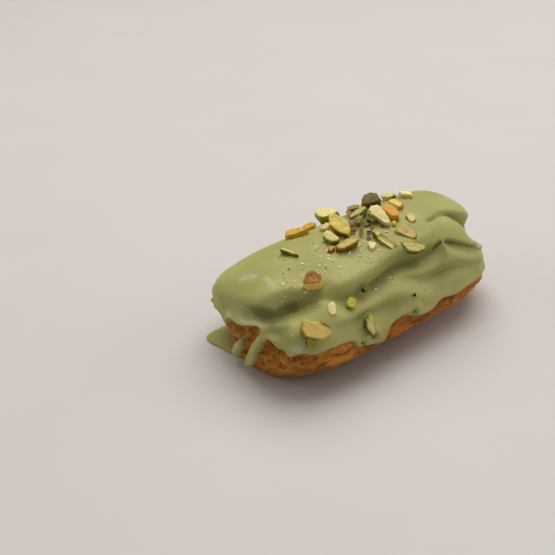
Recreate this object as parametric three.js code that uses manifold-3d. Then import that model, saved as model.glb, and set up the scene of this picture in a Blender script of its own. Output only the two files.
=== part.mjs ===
// Pistachio eclair: a star-piped choux bun, a poured pistachio glaze over it and chopped pistachios on top.
// Millimetres, +Z up. The long axis lies along X and the bun stands on its flat base at z = 0.

import * as THREE from 'three';
import { ConvexGeometry } from 'three/addons/geometries/ConvexGeometry.js';
import { mergeVertices } from 'three/addons/utils/BufferGeometryUtils.js';
import Module from 'manifold-3d';

// Size of the glazed eclair
const LENGTH = 116.4;
const WIDTH = 62.8;
const HEIGHT = 43.8;
const GLAZE = 2.4; // thickness of the coat on the crown
const THIN_GLAZE = 1.6; // thickness of a run-down
const EDGE = 2.2; // width over which the glaze rounds off to its lower edge
const GAP = 0.3; // clearance between neighbouring solids

// Form of the body: how much wider and taller it is towards its left end, and how square its corners are
const LEFT_WIDER = 0.188;
const ENDS_WIDER = 0.101;
const RIGHT_TALLER = 0.1;
const ENDS_TALLER = 0.027;
const LEFT_SQUARE = 3.46;
const RIGHT_SQUARE = 3.55;
const CROWN_SQUARE = 2.33;
const BELLY_SQUARE = 1.45;
const BEND = 0.7; // sideways bend of both ends
const BELLY = { middle: 13.2, left: 20.2, right: 15.9 }; // height of the widest line
const FOOT_DEPTH = { middle: 1.25, left: 1.61, right: 1.49 }; // how many belly heights the belly runs down
const ENDS_LEAN = { middle: 0, left: -1.5, right: -6.5 }; // how far the crown leans along X

// Furrows between the piped ridges. Angles in degrees from the crown, positive towards the front (-Y).
// place is the angle at mid-length, left and right are what it gains towards the two ends, depths are at the
// left end, the middle and the right end, and above and below are the widths of the two slopes.
const FURROWS = [
  { place: 17, left: 0, right: 21, depths: [0, 0.2, 5.4], above: 5, below: 20 },
  { place: 42, left: -26, right: 34, depths: [3, 2.8, 2.4], above: 6, below: 13 },
  { place: 61, left: 7, right: 28, depths: [1, 1.4, 1.8], above: 6, below: 12 },
  { place: -46, left: -8, right: -12, depths: [0.8, 2.2, 2.6], above: 9, below: 10 },
  { place: -66, left: -8, right: -20, depths: [0.8, 1.6, 1.8], above: 8, below: 9 },
];
const STAR_SWELL = 1.4; // the piped star's ridges stand out this much more at the right end
const TURNING = { left: [0.55, 1], right: [0.42, 0.9] }; // parts of the half length where they turn aside
const ENDS_FADE = [0.12, 0.5]; // parts of the radius over which they fade towards the middle of an end

// Ridges of bare pastry below the glaze, as grooves at fixed angles
const BARE_GROOVES = [
  { place: 86, depth: 1.1, width: 4 },
  { place: 106, depth: 1.3, width: 5 },
  { place: -87, depth: 1.1, width: 4 },
  { place: -108, depth: 1.3, width: 5 },
];

// Rough hollows in the bare left end: the centre, the radius and the depth
const HOLLOWS = [
  { at: [-56, -2, 14], radius: 8, depth: 3.4 },
  { at: [-54, -19, 18], radius: 4.5, depth: 2.0 },
  { at: [-53, 14, 8], radius: 5, depth: 1.6 },
];

// Lower edge of the glaze: its mean height at both ends, and the places where it runs down or stays up.
// Bearings in degrees seen from above: 0 is the right end, -90 the front, 180 the left end, 90 the back.
const HEM = { left: 19, right: 13 };
const HEM_BLEND = 3; // the pastry goes over from bare to coated within this distance on both sides of the hem
const TUCK = 1.2; // the glaze ends this far inside the pastry
const RUNS = [
  { bearing: -171, wide: 11.5, down: -6.3 },
  { bearing: -145.5, wide: 1.6, down: -1.8 },
  { bearing: -142, wide: 2, down: 1.4 },
  { bearing: -123, wide: 11, down: -1.4 },
  { bearing: -103, wide: 4.6, down: 5.6 },
  { bearing: -93, wide: 5, down: -3 },
  { bearing: -79, wide: 6.5, down: 3.8 },
  { bearing: -69, wide: 3, down: -1.4 },
  { bearing: -56, wide: 7, down: 2.2 },
  { bearing: -46, wide: 3, down: -1.2 },
  { bearing: -15, wide: 9, down: 1.6 },
  { bearing: 12, wide: 7, down: -2 },
  { bearing: 35, wide: 8, down: 2.4 },
  { bearing: 58, wide: 8, down: -2.5 },
  { bearing: 80, wide: 6, down: 4.2 },
  { bearing: 97, wide: 6, down: -2 },
  { bearing: 114, wide: 5, down: 5 },
  { bearing: 127, wide: 4, down: -1.5 },
  { bearing: 141, wide: 6, down: 3 },
  { bearing: 160, wide: 11, down: 2.4 },
  { bearing: 165, wide: 2.4, down: 2 },
];

// Drips that leave the hem: points on their middle line, and their half width at both ends of it
const DRIPS = [
  { path: [[-54, -17.5, 27], [-56.6, -12, 18], [-56.4, -6.2, 10], [-54, -1.8, 4.4]], halves: [3.2, 2.5] },
  { path: [[-53, 16, 18], [-56, 10.8, 13], [-56.2, 7.6, 9], [-54.2, 6, 4.6]], halves: [2.2, 1.7] },
  { path: [[-41, 30.3, 22], [-42, 29.4, 13], [-43.5, 26, 6], [-45, 22.5, 1]], halves: [5, 5] },
];

// Glaze that ran off and set in a pointed foot on the surface
const FOOT = { at: [-47.5, 19], turn: 138, long: 26, wide: 21.4, high: 2, taper: 0.4 };

// Chopped pistachios. Each is a chip with flat faces: at is its middle, along and up are the directions
// of its length and of its upper face, outline is its rim seen from above, as corners along and across,
// and bevel is how much smaller both faces are than the rim.
const NUTS = [
  {
    name: 'nut_slab',
    at: [-7.5, 2.2, 46.2],
    along: [0.15, -0.93, -0.34],
    up: [-0.37, -0.37, 0.85],
    thick: 3.8,
    bevel: 0.84,
    outline: [
      [-2.5, -2.9], [0.1, -2.8], [2.8, -2.3], [5.8, -1], [4.6, 1], [1.1, 2.9], [-5.8, 1.9],
      [-5.8, -0.6],
    ],
  },
  {
    name: 'nut_green',
    at: [-1.6, 18.9, 41.7],
    along: [0.69, -0.69, 0.21],
    up: [-0.29, -0, 0.96],
    thick: 4.2,
    bevel: 0.8,
    outline: [
      [5, -1.2], [5.1, -0.2], [3.4, 1.5], [-0.5, 3.1], [-3.1, 2.8], [-5.1, 0.9], [-2.7, -2.2],
      [-0.7, -3.1],
    ],
  },
  {
    name: 'nut_gold',
    at: [-19.5, 15.2, 41.6],
    along: [0.84, -0.5, 0.23],
    up: [-0.27, -0.01, 0.96],
    thick: 2.6,
    bevel: 0.8,
    outline: [
      [-3.6, -1.7], [-1.3, -1.8], [3.4, -1.1], [4.8, -0.6], [1.4, 1.5], [-1.5, 1.8], [-3.9, 1.6],
      [-4.7, -0.8],
    ],
  },
  {
    name: 'nut_cream',
    at: [-13.9, -0.6, 44.3],
    along: [0.4, -0.9, -0.15],
    up: [-0.27, -0.27, 0.92],
    thick: 2.9,
    bevel: 0.8,
    outline: [
      [-1.5, -1.9], [1.1, -2.1], [3.2, -0.9], [3.4, 0.6], [-1.5, 2.1], [-3.1, 2], [-3.4, 0.5],
      [-2.8, -1.2],
    ],
  },
  {
    name: 'nut_oval',
    at: [-12.2, -8.1, 44.1],
    along: [0.95, -0.24, 0.2],
    up: [-0.28, -0.37, 0.89],
    thick: 3.3,
    bevel: 0.84,
    outline: [
      [-3.4, -1.3], [-1.4, -1.8], [3.7, -1.2], [4.4, -0.4], [3.9, 1.1], [2, 1.8], [-3.3, 1.1],
      [-4.4, 0.3],
    ],
  },
  {
    name: 'nut_dark',
    at: [15.1, 11.1, 46.1],
    along: [0.85, -0.45, 0.29],
    up: [-0.35, -0.06, 0.94],
    thick: 4.6,
    bevel: 0.72,
    outline: [
      [-3.2, -1.5], [0.7, -3.1], [2.4, -3.2], [3.6, -1.7], [2.4, 2.3], [0.8, 3.2], [-1, 2.3],
      [-3.6, -0.4],
    ],
  },
  {
    name: 'nut_blade',
    at: [9.4, -1.9, 47],
    along: [0.13, -0.93, -0.35],
    up: [-0.36, -0.38, 0.85],
    thick: 3.4,
    bevel: 0.8,
    outline: [
      [-2.4, -2.4], [5.3, -1.3], [5.4, 0], [3.5, 1.2], [-2.1, 2.4], [-4.1, 1.9], [-5.4, -0],
      [-5.2, -1.7],
    ],
  },
  {
    name: 'nut_amber',
    at: [15, -1.8, 46.5],
    along: [0.12, -0.98, -0.17],
    up: [-0.22, -0.19, 0.96],
    thick: 3.4,
    bevel: 0.8,
    outline: [
      [4.6, -0.4], [3.4, 1], [1.1, 1.9], [-2, 2.2], [-4, 1.2], [-4.6, -1.1], [-2.8, -1.7], [2.5, -2.2],
    ],
  },
  {
    name: 'nut_glassy',
    at: [4.9, 6.6, 45.5],
    along: [0.97, -0.05, 0.24],
    up: [-0.24, -0.07, 0.97],
    thick: 3,
    bevel: 0.75,
    outline: [
      [-4.4, -1.2], [0.3, -1.5], [3.3, -1.1], [4.6, -0], [4.2, 1], [1.4, 1.5], [-1.5, 1.4],
      [-3.9, 0.6],
    ],
  },
  {
    name: 'nut_stick',
    at: [2.2, -12.6, 43.1],
    along: [0.28, -0.91, -0.32],
    up: [-0.15, -0.37, 0.92],
    thick: 2.7,
    bevel: 0.8,
    outline: [
      [2.6, 1.8], [-3.4, 1.7], [-5.3, 0.1], [-3, -0.8], [-0.1, -1.5], [4.8, -1.7], [5.3, 1], [5, 1.6],
    ],
  },
  {
    name: 'nut_pale',
    at: [13.8, -13, 43.1],
    along: [0.52, -0.8, -0.3],
    up: [-0.3, -0.5, 0.81],
    thick: 3.1,
    bevel: 0.86,
    outline: [
      [-3.5, -2.3], [3.1, -2.1], [4.3, -1.2], [3.9, 0.2], [1.7, 1.5], [-1.1, 2.3], [-2.5, 2.1],
      [-4.3, -1.7],
    ],
  },
  {
    name: 'nut_rim',
    at: [11.3, -19.5, 39.7],
    along: [0.82, -0.53, -0.22],
    up: [-0.19, -0.61, 0.77],
    thick: 2.9,
    bevel: 0.86,
    outline: [
      [4.1, -0.5], [4.9, 1.3], [3.1, 1.8], [-2.7, 2], [-4.9, 1.5], [-4.6, 0.1], [-1.6, -2],
      [1.5, -1.8],
    ],
  },
  {
    name: 'nut_cube',
    at: [-34.3, -16, 40.5],
    along: [-0.5, -0.76, -0.42],
    up: [-0.23, -0.35, 0.91],
    thick: 5,
    bevel: 0.86,
    outline: [
      [-1.1, 2.8], [-2.2, 1.3], [-2.7, -0.8], [-2.4, -1.6], [1.8, -3.4], [2.7, -2], [2.2, 3],
      [0.1, 3.4],
    ],
  },
  {
    name: 'nut_tan',
    at: [-42.7, -29.4, 29.3],
    along: [0.91, -0.39, -0.17],
    up: [-0.2, -0.75, 0.63],
    thick: 4,
    bevel: 0.86,
    outline: [
      [5.2, 1.7], [2.7, 2.9], [-2.3, 3], [-4.6, 2.6], [-5.5, 0.4], [-4.5, -1.6], [1.7, -3],
      [5.5, -0.6],
    ],
  },
];

// Smaller chips, which are one with the glaze that they stuck to
const CHIPS = [
  {
    at: [-20.3, -32.6, 24],
    along: [-0.16, -0.38, -0.91],
    up: [-0.11, -0.91, 0.4],
    thick: 2.8,
    bevel: 0.8,
    outline: [[0.8, -1.7], [4.2, 0.4], [2.9, 1.7], [-3.1, 1.6], [-4.2, 0.6], [-2.2, -1.8]],
  },
  {
    at: [-32.8, -25.4, 32.4],
    along: [-0.33, -0.71, -0.63],
    up: [-0.08, -0.64, 0.76],
    thick: 2.6,
    bevel: 0.85,
    outline: [[-0.8, 1.3], [-2.3, 0.7], [-1.4, -1.2], [1.4, -1.3], [2.6, -0.5], [2, 1.1]],
  },
  {
    at: [-23.9, -26.1, 31.9],
    along: [-0.45, -0.6, -0.66],
    up: [-0.05, -0.73, 0.69],
    thick: 1.4,
    bevel: 0.85,
    outline: [[1.6, -1], [1.9, 0.5], [0.5, 1.5], [-1.3, 1], [-1.9, -0.5], [0.4, -1.5]],
  },
  {
    at: [-30.7, 3.9, 41.6],
    along: [0.39, -0.92, -0.04],
    up: [-0.24, -0.14, 0.96],
    thick: 1.3,
    bevel: 0.8,
    outline: [[-3.3, -0.7], [2, -0.6], [4.1, -0.2], [1.5, 0.5], [-3.4, 0.6], [-4.1, -0]],
  },
  {
    at: [-45.8, -30, 25.7],
    along: [0.69, -0.52, -0.51],
    up: [-0.3, -0.84, 0.44],
    thick: 3,
    bevel: 0.85,
    outline: [[-1.9, 0.8], [-0.9, -1.2], [0.5, -1.4], [2, -0], [1.7, 1], [-0, 1.4]],
  },
  {
    at: [24.8, 11.8, 44.9],
    along: [0.63, -0.75, 0.18],
    up: [-0.32, -0.03, 0.95],
    thick: 2.2,
    bevel: 0.8,
    outline: [[-2.2, -0.9], [1.8, -1.3], [3, -0.6], [2.5, 0.8], [-1.8, 1.3], [-3, 0.3]],
  },
  {
    at: [30.1, 7, 46.2],
    along: [0.47, -0.88, 0.02],
    up: [-0.22, -0.1, 0.97],
    thick: 2.2,
    bevel: 0.8,
    outline: [[-1.5, 1.1], [-2.9, 0.2], [-1, -1.1], [2.9, -0.7], [2.7, 0.3], [0.8, 1.2]],
  },
  {
    at: [21.3, 2.7, 46.5],
    along: [0.29, -0.95, -0.08],
    up: [-0.21, -0.14, 0.97],
    thick: 2.4,
    bevel: 0.8,
    outline: [[-3.5, -0.4], [-2, -1.4], [2.6, -1.7], [3.5, -0.5], [2.3, 0.9], [-1.2, 1.7]],
  },
  {
    at: [20.4, -7.4, 43.6],
    along: [-0.1, -0.94, -0.34],
    up: [-0.19, -0.31, 0.93],
    thick: 1.8,
    bevel: 0.8,
    outline: [[0.9, -1.1], [2, -0.3], [1.2, 0.9], [-0.5, 1.1], [-2, 0.7], [-1.1, -0.9]],
  },
  {
    at: [-12, 16.9, 41.1],
    along: [0.88, -0.41, 0.25],
    up: [-0.28, -0.01, 0.96],
    thick: 1.6,
    bevel: 0.8,
    outline: [[-1.3, -1.6], [1.7, -1.1], [2.5, 0.1], [1, 1.3], [-1.2, 1.6], [-2.5, 0.5]],
  },
  {
    at: [10.4, 16.7, 42],
    along: [0.8, -0.53, 0.27],
    up: [-0.29, 0.05, 0.96],
    thick: 1.6,
    bevel: 0.8,
    outline: [[-2.7, -1.2], [1.5, -1.4], [3, -0.6], [2.4, 0.6], [-0.3, 1.4], [-2.3, 1.3]],
  },
  {
    at: [-9.7, 9.1, 43.3],
    along: [0.94, -0.26, 0.23],
    up: [-0.27, -0.14, 0.95],
    thick: 1.6,
    bevel: 0.8,
    outline: [[0.9, 1.4], [-2.1, 0.9], [-1.5, -0.5], [-0.1, -1.4], [1.2, -0.9], [2.1, 1.1]],
  },
  {
    at: [12.2, 13.3, 44],
    along: [0.85, 0.42, 0.31],
    up: [-0.33, -0.02, 0.94],
    thick: 1.6,
    bevel: 0.8,
    outline: [[-2.2, -0.6], [-0.5, -0.6], [2.7, -0.2], [1.1, 0.6], [-1.6, 0.6], [-2.7, -0.1]],
  },
  {
    at: [-17.7, -5.5, 42.9],
    along: [0.97, -0.13, 0.19],
    up: [-0.22, -0.26, 0.94],
    thick: 1.6,
    bevel: 0.8,
    outline: [[-0, 1], [-1.4, 0], [-0.4, -1], [1.2, -0.4], [1.4, 0.7]],
  },
];

// Facets
const GLAZE_STEP = 3;
const PASTRY_STEP = 4.3;

const wasm = await Module();
wasm.setup();

const radians = THREE.MathUtils.degToRad;
const degrees = THREE.MathUtils.radToDeg;
const clamp = THREE.MathUtils.clamp;
const smooth = THREE.MathUtils.smoothstep; // value, low, high
const rounded = (part) => Math.sqrt(1 - (1 - clamp(part, 0, 1)) ** 2); // a quarter circle's rise

// Body: a box-like ball, stretched to the eclair's length, width and height

// Place on a ball with squared corners, in the direction that aim gives from its middle
function onBall(aim) {
  const ends = aim.x < 0 ? LEFT_SQUARE : RIGHT_SQUARE;
  const section = aim.z > 0 ? CROWN_SQUARE : BELLY_SQUARE;
  const across = (Math.abs(aim.y) ** section + Math.abs(aim.z) ** section) ** (ends / section);
  return aim.clone().multiplyScalar((Math.abs(aim.x) ** ends + across) ** (-1 / ends));
}

// A value that goes from its middle one to its left or right one with a power of the place along the body
function alongBody(values, end, power) {
  const last = end < 0 ? values.left : values.right;
  return values.middle + (last - values.middle) * Math.abs(end) ** power;
}

// The ball's place in millimetres
function stretched(ball) {
  const end = ball.x;
  const halfWidth = (WIDTH / 2) * (1 - LEFT_WIDER * end + ENDS_WIDER * end ** 2);
  const top = HEIGHT * (1 + RIGHT_TALLER * end + ENDS_TALLER * end ** 2);
  const belly = alongBody(BELLY, end, 3);
  const reach = ball.z > 0 ? top - belly : belly * alongBody(FOOT_DEPTH, end, 2);
  const lean = alongBody(ENDS_LEAN, end, 3) * Math.max(0, ball.z);
  return new THREE.Vector3(
    (end * LENGTH) / 2 + lean,
    ball.y * halfWidth + BEND * end ** 2,
    belly + reach * ball.z,
  );
}

const bodyPoint = (aim) => stretched(onBall(aim));

// Outward direction of the body there, from four points close by
function bodyNormal(aim) {
  const step = 1e-3;
  const spare = Math.abs(aim.x) > Math.abs(aim.y) ? new THREE.Vector3(0, 1, 0) : new THREE.Vector3(1, 0, 0);
  const one = new THREE.Vector3().crossVectors(aim, spare).setLength(step * aim.length());
  const two = new THREE.Vector3().crossVectors(aim, one).setLength(step * aim.length());
  const across = bodyPoint(aim.clone().add(one)).sub(bodyPoint(aim.clone().sub(one)));
  const other = bodyPoint(aim.clone().add(two)).sub(bodyPoint(aim.clone().sub(two)));
  return across.cross(other).normalize();
}

// Relief: furrows, the hem of the glaze, drips and the rough end

// Depth of the furrows on the ball. They fade out in the middle of both ends.
function furrows(ball) {
  const angle = degrees(Math.atan2(-ball.y, ball.z));
  const turned = (part, [from, to]) => clamp((part - from) / (to - from), 0, 1) ** 1.5;
  const leftPart = turned(-ball.x, TURNING.left);
  const rightPart = turned(ball.x, TURNING.right);
  const towardsEnd = Math.min(1, Math.abs(ball.x) / 0.8);
  let relief = STAR_SWELL * rightPart;
  for (const { place, left, right, depths, above, below } of FURROWS) {
    const offset = angle - (place + left * leftPart + right * rightPart);
    const spread = offset * Math.sign(place) < 0 ? above : below;
    const depth = THREE.MathUtils.lerp(depths[1], ball.x < 0 ? depths[0] : depths[2], towardsEnd);
    relief -= depth * Math.exp(-((offset / spread) ** 2));
  }
  return relief * smooth(Math.hypot(ball.y, ball.z), ...ENDS_FADE);
}

// Height of the glaze's lower edge at a bearing
function hemHeight(bearing) {
  let height = (HEM.left + HEM.right) / 2 - ((HEM.left - HEM.right) / 2) * Math.cos(radians(bearing));
  for (const run of RUNS) {
    const off = THREE.MathUtils.euclideanModulo(bearing - run.bearing + 180, 360) - 180;
    height -= run.down * Math.exp(-((off / run.wide) ** 4));
  }
  return height;
}

// How far inside the glaze's main sheet a place is, in millimetres, negative below its lower edge
function insideSheet(place, ball) {
  const bearing = degrees(Math.atan2(ball.y, ball.x));
  const slope = (hemHeight(bearing + 1) - hemHeight(bearing - 1)) / 2;
  return (place.z - hemHeight(bearing)) / Math.sqrt(1 + slope ** 2);
}

// Uneven baked surface, within about one millimetre
function crags(place) {
  const coarse = Math.sin(0.62 * place.x + 0.9 * place.y) * Math.sin(0.8 * place.z - 0.5 * place.x + 1);
  const fine = Math.sin(1.3 * place.y + 0.7 * place.z + 2) * Math.sin(1.1 * place.x + 0.4);
  return 0.6 * coarse + 0.4 * fine;
}

// Both surfaces' offsets from the body: the pastry's, and the glaze's, which dips under it where it's bare
function offsets(aim) {
  const ball = onBall(aim);
  const place = stretched(ball);
  const angle = degrees(Math.atan2(-ball.y, ball.z));
  const sheet = insideSheet(place, ball);
  const coated = smooth(sheet, -HEM_BLEND, HEM_BLEND);
  const ridges = furrows(ball);

  let bare = 0;
  for (const groove of BARE_GROOVES) {
    bare -= groove.depth * Math.exp(-(((angle - groove.place) / groove.width) ** 2));
  }
  bare += crags(place) * (0.35 + 0.5 * smooth(-ball.x, 0.6, 0.95));
  for (const hollow of HOLLOWS) {
    const off = place.distanceTo(new THREE.Vector3(...hollow.at)) / hollow.radius;
    bare -= hollow.depth * Math.exp(-(off ** 4));
  }
  const pastry = THREE.MathUtils.lerp(bare, ridges - GLAZE, coated);

  const thickness = Math.max(ridges - pastry, THIN_GLAZE);
  const dip = clamp(-sheet, 0, TUCK);
  return { pastry, glaze: pastry + thickness * rounded(sheet / EDGE) - dip };
}

// A point of one of the surfaces, moved outwards by lift
function surfacePoint(name, aim, lift = 0) {
  return bodyPoint(aim).addScaledVector(bodyNormal(aim), offsets(aim)[name] + lift);
}

// Splits each four-sided cell across its shorter diagonal, so that no sawteeth cross a furrow
function alongFurrows(geometry) {
  const index = geometry.index;
  const corner = (i) => new THREE.Vector3().fromBufferAttribute(geometry.attributes.position, i);
  for (let i = 0; i < index.count; i += 6) {
    const [a, b, d, c] = [0, 1, 2, 4].map((k) => index.getX(i + k));
    if (corner(a).distanceTo(corner(c)) < corner(b).distanceTo(corner(d))) {
      [a, b, c, a, c, d].forEach((value, k) => index.setX(i + k, value));
    }
  }
  return geometry;
}

// Closed surface: a box of even cells, each corner taken as an aim. The tangent evens out the cells' width.
function closedSurface(step, pointAt) {
  const cells = [LENGTH, WIDTH, HEIGHT].map((side) => Math.round(side / step));
  const geometry = new THREE.BoxGeometry(2, 2, 2, ...cells);
  const corners = geometry.attributes.position;
  const even = (side) => Math.tan((side * Math.PI) / 4);
  for (let i = 0; i < corners.count; i += 1) {
    const aim = new THREE.Vector3(corners.getX(i), even(corners.getY(i)), even(corners.getZ(i)));
    corners.setXYZ(i, ...pointAt(aim));
  }
  return geometry;
}

// Solids from meshes, and back

function solid(geometry) {
  const bare = geometry.clone();
  bare.deleteAttribute('normal');
  bare.deleteAttribute('uv');
  const merged = mergeVertices(bare, 1e-4);
  return new wasm.Manifold(
    new wasm.Mesh({
      numProp: 3,
      vertProperties: new Float32Array(merged.attributes.position.array),
      triVerts: new Uint32Array(merged.index.array),
    }),
  );
}

function meshOf(body, name, color, roughness) {
  const { vertProperties, triVerts } = body.getMesh();
  const geometry = new THREE.BufferGeometry();
  geometry.setAttribute('position', new THREE.BufferAttribute(new Float32Array(vertProperties), 3));
  geometry.setIndex(new THREE.BufferAttribute(new Uint32Array(triVerts), 1));
  geometry.computeVertexNormals();
  const mesh = new THREE.Mesh(geometry, new THREE.MeshStandardMaterial({ color, roughness, metalness: 0 }));
  mesh.name = name;
  return mesh;
}

const largestPiece = (body) => body.decompose().sort((a, b) => b.volume() - a.volume())[0];

// A slab that fills everything below the surface that the eclair stands on
function belowFloor() {
  const deep = 60;
  return solid(new THREE.BoxGeometry(3 * LENGTH, 3 * WIDTH, deep).translate(0, 0, -deep / 2));
}

// Pastry and glaze

function choux(lift) {
  return solid(closedSurface(PASTRY_STEP, (aim) => surfacePoint('pastry', aim, lift)));
}

// A flattened drop with a pointed end, lying on the surface
function footDrop() {
  const drop = new THREE.SphereGeometry(1, 20, 12);
  const spots = drop.attributes.position;
  for (let i = 0; i < spots.count; i += 1) {
    const along = spots.getX(i);
    const taper = along > 0 ? 1 - FOOT.taper * along : 1;
    const across = spots.getY(i) * taper;
    spots.setXYZ(i, along * (FOOT.long / 2), across * (FOOT.wide / 2), spots.getZ(i) * FOOT.high);
  }
  return solid(drop.rotateZ(radians(FOOT.turn)).translate(FOOT.at[0], FOOT.at[1], 0));
}

// A drip: a ball drawn out along its middle line, with round ends
function dripTube({ path, halves }) {
  const line = new THREE.CatmullRomCurve3(path.map((point) => new THREE.Vector3(...point)));
  const tube = new THREE.SphereGeometry(1, 10, 14).rotateX(Math.PI / 2);
  const corners = tube.attributes.position;
  for (let i = 0; i < corners.count; i += 1) {
    const run = clamp((1 - corners.getZ(i)) / 2, 0, 1);
    const half = THREE.MathUtils.lerp(halves[0], halves[1], run);
    const fromEnd = Math.min(run, 1 - run) * line.getLength();
    const reach = half * rounded(fromEnd / half);
    const turn = Math.atan2(corners.getY(i), corners.getX(i));
    const ahead = line.getTangentAt(run);
    const side = new THREE.Vector3(0, 0, 1).cross(ahead).normalize();
    const out = side.clone().cross(ahead);
    const on = line.getPointAt(run);
    on.addScaledVector(side, reach * Math.cos(turn)).addScaledVector(out, reach * Math.sin(turn));
    corners.setXYZ(i, ...on);
  }
  return solid(tube);
}

function coat() {
  let outer = solid(alongFurrows(closedSurface(GLAZE_STEP, (aim) => surfacePoint('glaze', aim))));
  for (const drip of DRIPS) {
    outer = outer.add(dripTube(drip));
  }
  return outer.add(footDrop()).subtract(choux(GAP)).subtract(belowFloor());
}

// Nuts

// A chip in its place, larger by grown all round
function kernel({ at, along, up, thick, bevel, outline }, grown = 0) {
  const [long, wide] = [0, 1].map((side) => Math.max(...outline.map((corner) => Math.abs(corner[side]))));
  const points = [];
  for (const [inset, rise] of [[bevel, -thick / 2], [1, 0], [bevel, thick / 2]]) {
    for (const [forward, across] of outline) {
      points.push(new THREE.Vector3(inset * forward, inset * across, rise));
    }
  }
  const above = new THREE.Vector3(...up).normalize();
  const ahead = new THREE.Vector3(...along).projectOnPlane(above).normalize();
  const frame = new THREE.Matrix4().makeBasis(ahead, above.clone().cross(ahead), above);
  const geometry = new ConvexGeometry(points);
  geometry.scale(1 + grown / long, 1 + grown / wide, 1 + (2 * grown) / thick);
  geometry.applyMatrix4(frame.setPosition(...at));
  return solid(geometry);
}

// Assembly

const pastry = choux(0).subtract(belowFloor());
let glaze = coat();
for (const chip of CHIPS) {
  glaze = glaze.add(kernel(chip));
}
for (const nut of NUTS) {
  glaze = glaze.subtract(kernel(nut, GAP));
}

const eclair = new THREE.Group();
eclair.add(meshOf(largestPiece(pastry), 'choux_bun', 0xa8662c, 0.85));
eclair.add(meshOf(largestPiece(glaze), 'pistachio_glaze', 0xa3a263, 0.45));
for (const nut of NUTS) {
  eclair.add(meshOf(kernel(nut), nut.name, 0xc9b65a, 0.7));
}

// The origin is the middle of the base of the whole eclair's box
const box = new THREE.Box3().setFromObject(eclair);
const middle = box.getCenter(new THREE.Vector3());
eclair.position.set(-middle.x, -middle.y, 0);

export default eclair;
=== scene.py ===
"""Looks of the pistachio eclair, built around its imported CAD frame.

The eclair's own sizes are in millimetres, in the axes that its CAD source draws it in.
placed() turns them into the row's metres.
"""

import math

import bmesh
import bpy
import numpy as np
from mathutils import Matrix, Vector, noise
from mathutils.bvhtree import BVHTree


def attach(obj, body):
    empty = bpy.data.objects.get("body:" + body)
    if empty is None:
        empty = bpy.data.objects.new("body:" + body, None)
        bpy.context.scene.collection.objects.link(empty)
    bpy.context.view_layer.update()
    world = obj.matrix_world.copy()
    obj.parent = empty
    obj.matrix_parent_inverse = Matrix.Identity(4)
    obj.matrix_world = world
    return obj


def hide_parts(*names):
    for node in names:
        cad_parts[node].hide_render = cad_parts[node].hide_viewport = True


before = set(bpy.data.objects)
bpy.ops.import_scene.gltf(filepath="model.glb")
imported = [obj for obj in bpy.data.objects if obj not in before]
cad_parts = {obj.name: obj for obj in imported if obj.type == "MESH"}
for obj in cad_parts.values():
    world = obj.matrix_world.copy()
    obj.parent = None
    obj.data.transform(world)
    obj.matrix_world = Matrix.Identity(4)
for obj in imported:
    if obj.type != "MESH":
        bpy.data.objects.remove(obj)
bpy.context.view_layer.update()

# The camera stands where the photograph was taken from: in front of the eclair's left end, well above it,
# with a lens that is long enough to keep its sides nearly parallel.

MM = 0.001
CAMERA_AT = (-213.84, -272.25, 238.30)
CAMERA_TILT = 57.994
CAMERA_HEADING = -32.773
CAMERA_ROLL = -2.577
LENS = 64.865

camera_data = bpy.data.cameras.new("camera")
camera_data.lens = LENS
camera_data.sensor_width = 36
camera_data.clip_start = 0.01
camera = bpy.data.objects.new("camera", camera_data)
bpy.context.scene.collection.objects.link(camera)
camera.matrix_world = (
    Matrix.Translation(Vector(CAMERA_AT) * MM)
    @ Matrix.Rotation(math.radians(CAMERA_HEADING), 4, "Z")
    @ Matrix.Rotation(math.radians(CAMERA_TILT), 4, "X")
    @ Matrix.Rotation(math.radians(CAMERA_ROLL), 4, "Z")
)
bpy.context.scene.camera = camera

# A pale table top under a large, high window behind the eclair, with the room's light from the left and a
# warmer wall to the right. Its finish is the first that is mixed here, so the shader sums come with it.


class Tone:
    """What a shader node gives. Sums and products of tones add Math nodes."""

    def __init__(self, tree, socket):
        self.tree = tree
        self.socket = socket

    def node(self, kind, settings=None, sockets=None, out=0):
        """Any other node: its settings are set first, then its sockets get values or tones."""
        made = self.tree.nodes.new(kind)
        for name, value in (settings or {}).items():
            if name == "stops":
                for spot, (place, colour) in zip(spread_stops(made, len(value)), value):
                    spot.position = place
                    spot.color = colour
            else:
                setattr(made, name, value)
        for name, value in (sockets or {}).items():
            if isinstance(value, Tone):
                self.tree.links.new(value.socket, made.inputs[name])
            else:
                made.inputs[name].default_value = value
        return Tone(self.tree, made.outputs[out])

    def math(self, operation, *values):
        return self.node("ShaderNodeMath", {"operation": operation}, dict(enumerate(values)))

    def __add__(self, other):
        return self.math("ADD", self, other)

    def __radd__(self, other):
        return self.math("ADD", other, self)

    def __sub__(self, other):
        return self.math("SUBTRACT", self, other)

    def __rsub__(self, other):
        return self.math("SUBTRACT", other, self)

    def __mul__(self, other):
        return self.math("MULTIPLY", self, other)

    def __rmul__(self, other):
        return self.math("MULTIPLY", other, self)


def spread_stops(ramp, count):
    """The ramp node's stops, as many as asked."""
    stops = ramp.color_ramp.elements
    while len(stops) < count:
        stops.new(0.5)
    return stops


def srgb(red, green, blue):
    """A colour that was read off as 0 to 255, as the shader wants it."""
    linear = [c / 255 / 12.92 if c <= 10 else ((c / 255 + 0.055) / 1.055) ** 2.4 for c in (red, green, blue)]
    return (*linear, 1.0)


def finish(name, **steady):
    """A material with its steady values set, the tone that starts its sums, and its shader's sockets."""
    material = bpy.data.materials.new(name)
    material.use_nodes = True
    shader = material.node_tree.nodes["Principled BSDF"]
    for socket, value in steady.items():
        shader.inputs[socket.replace("_", " ").title().replace("Ior", "IOR")].default_value = value
    coordinates = material.node_tree.nodes.new("ShaderNodeTexCoord")
    return material, Tone(material.node_tree, coordinates.outputs["Object"]), shader.inputs


def feed(socket, tone):
    tone.tree.links.new(tone.socket, socket)


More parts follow.
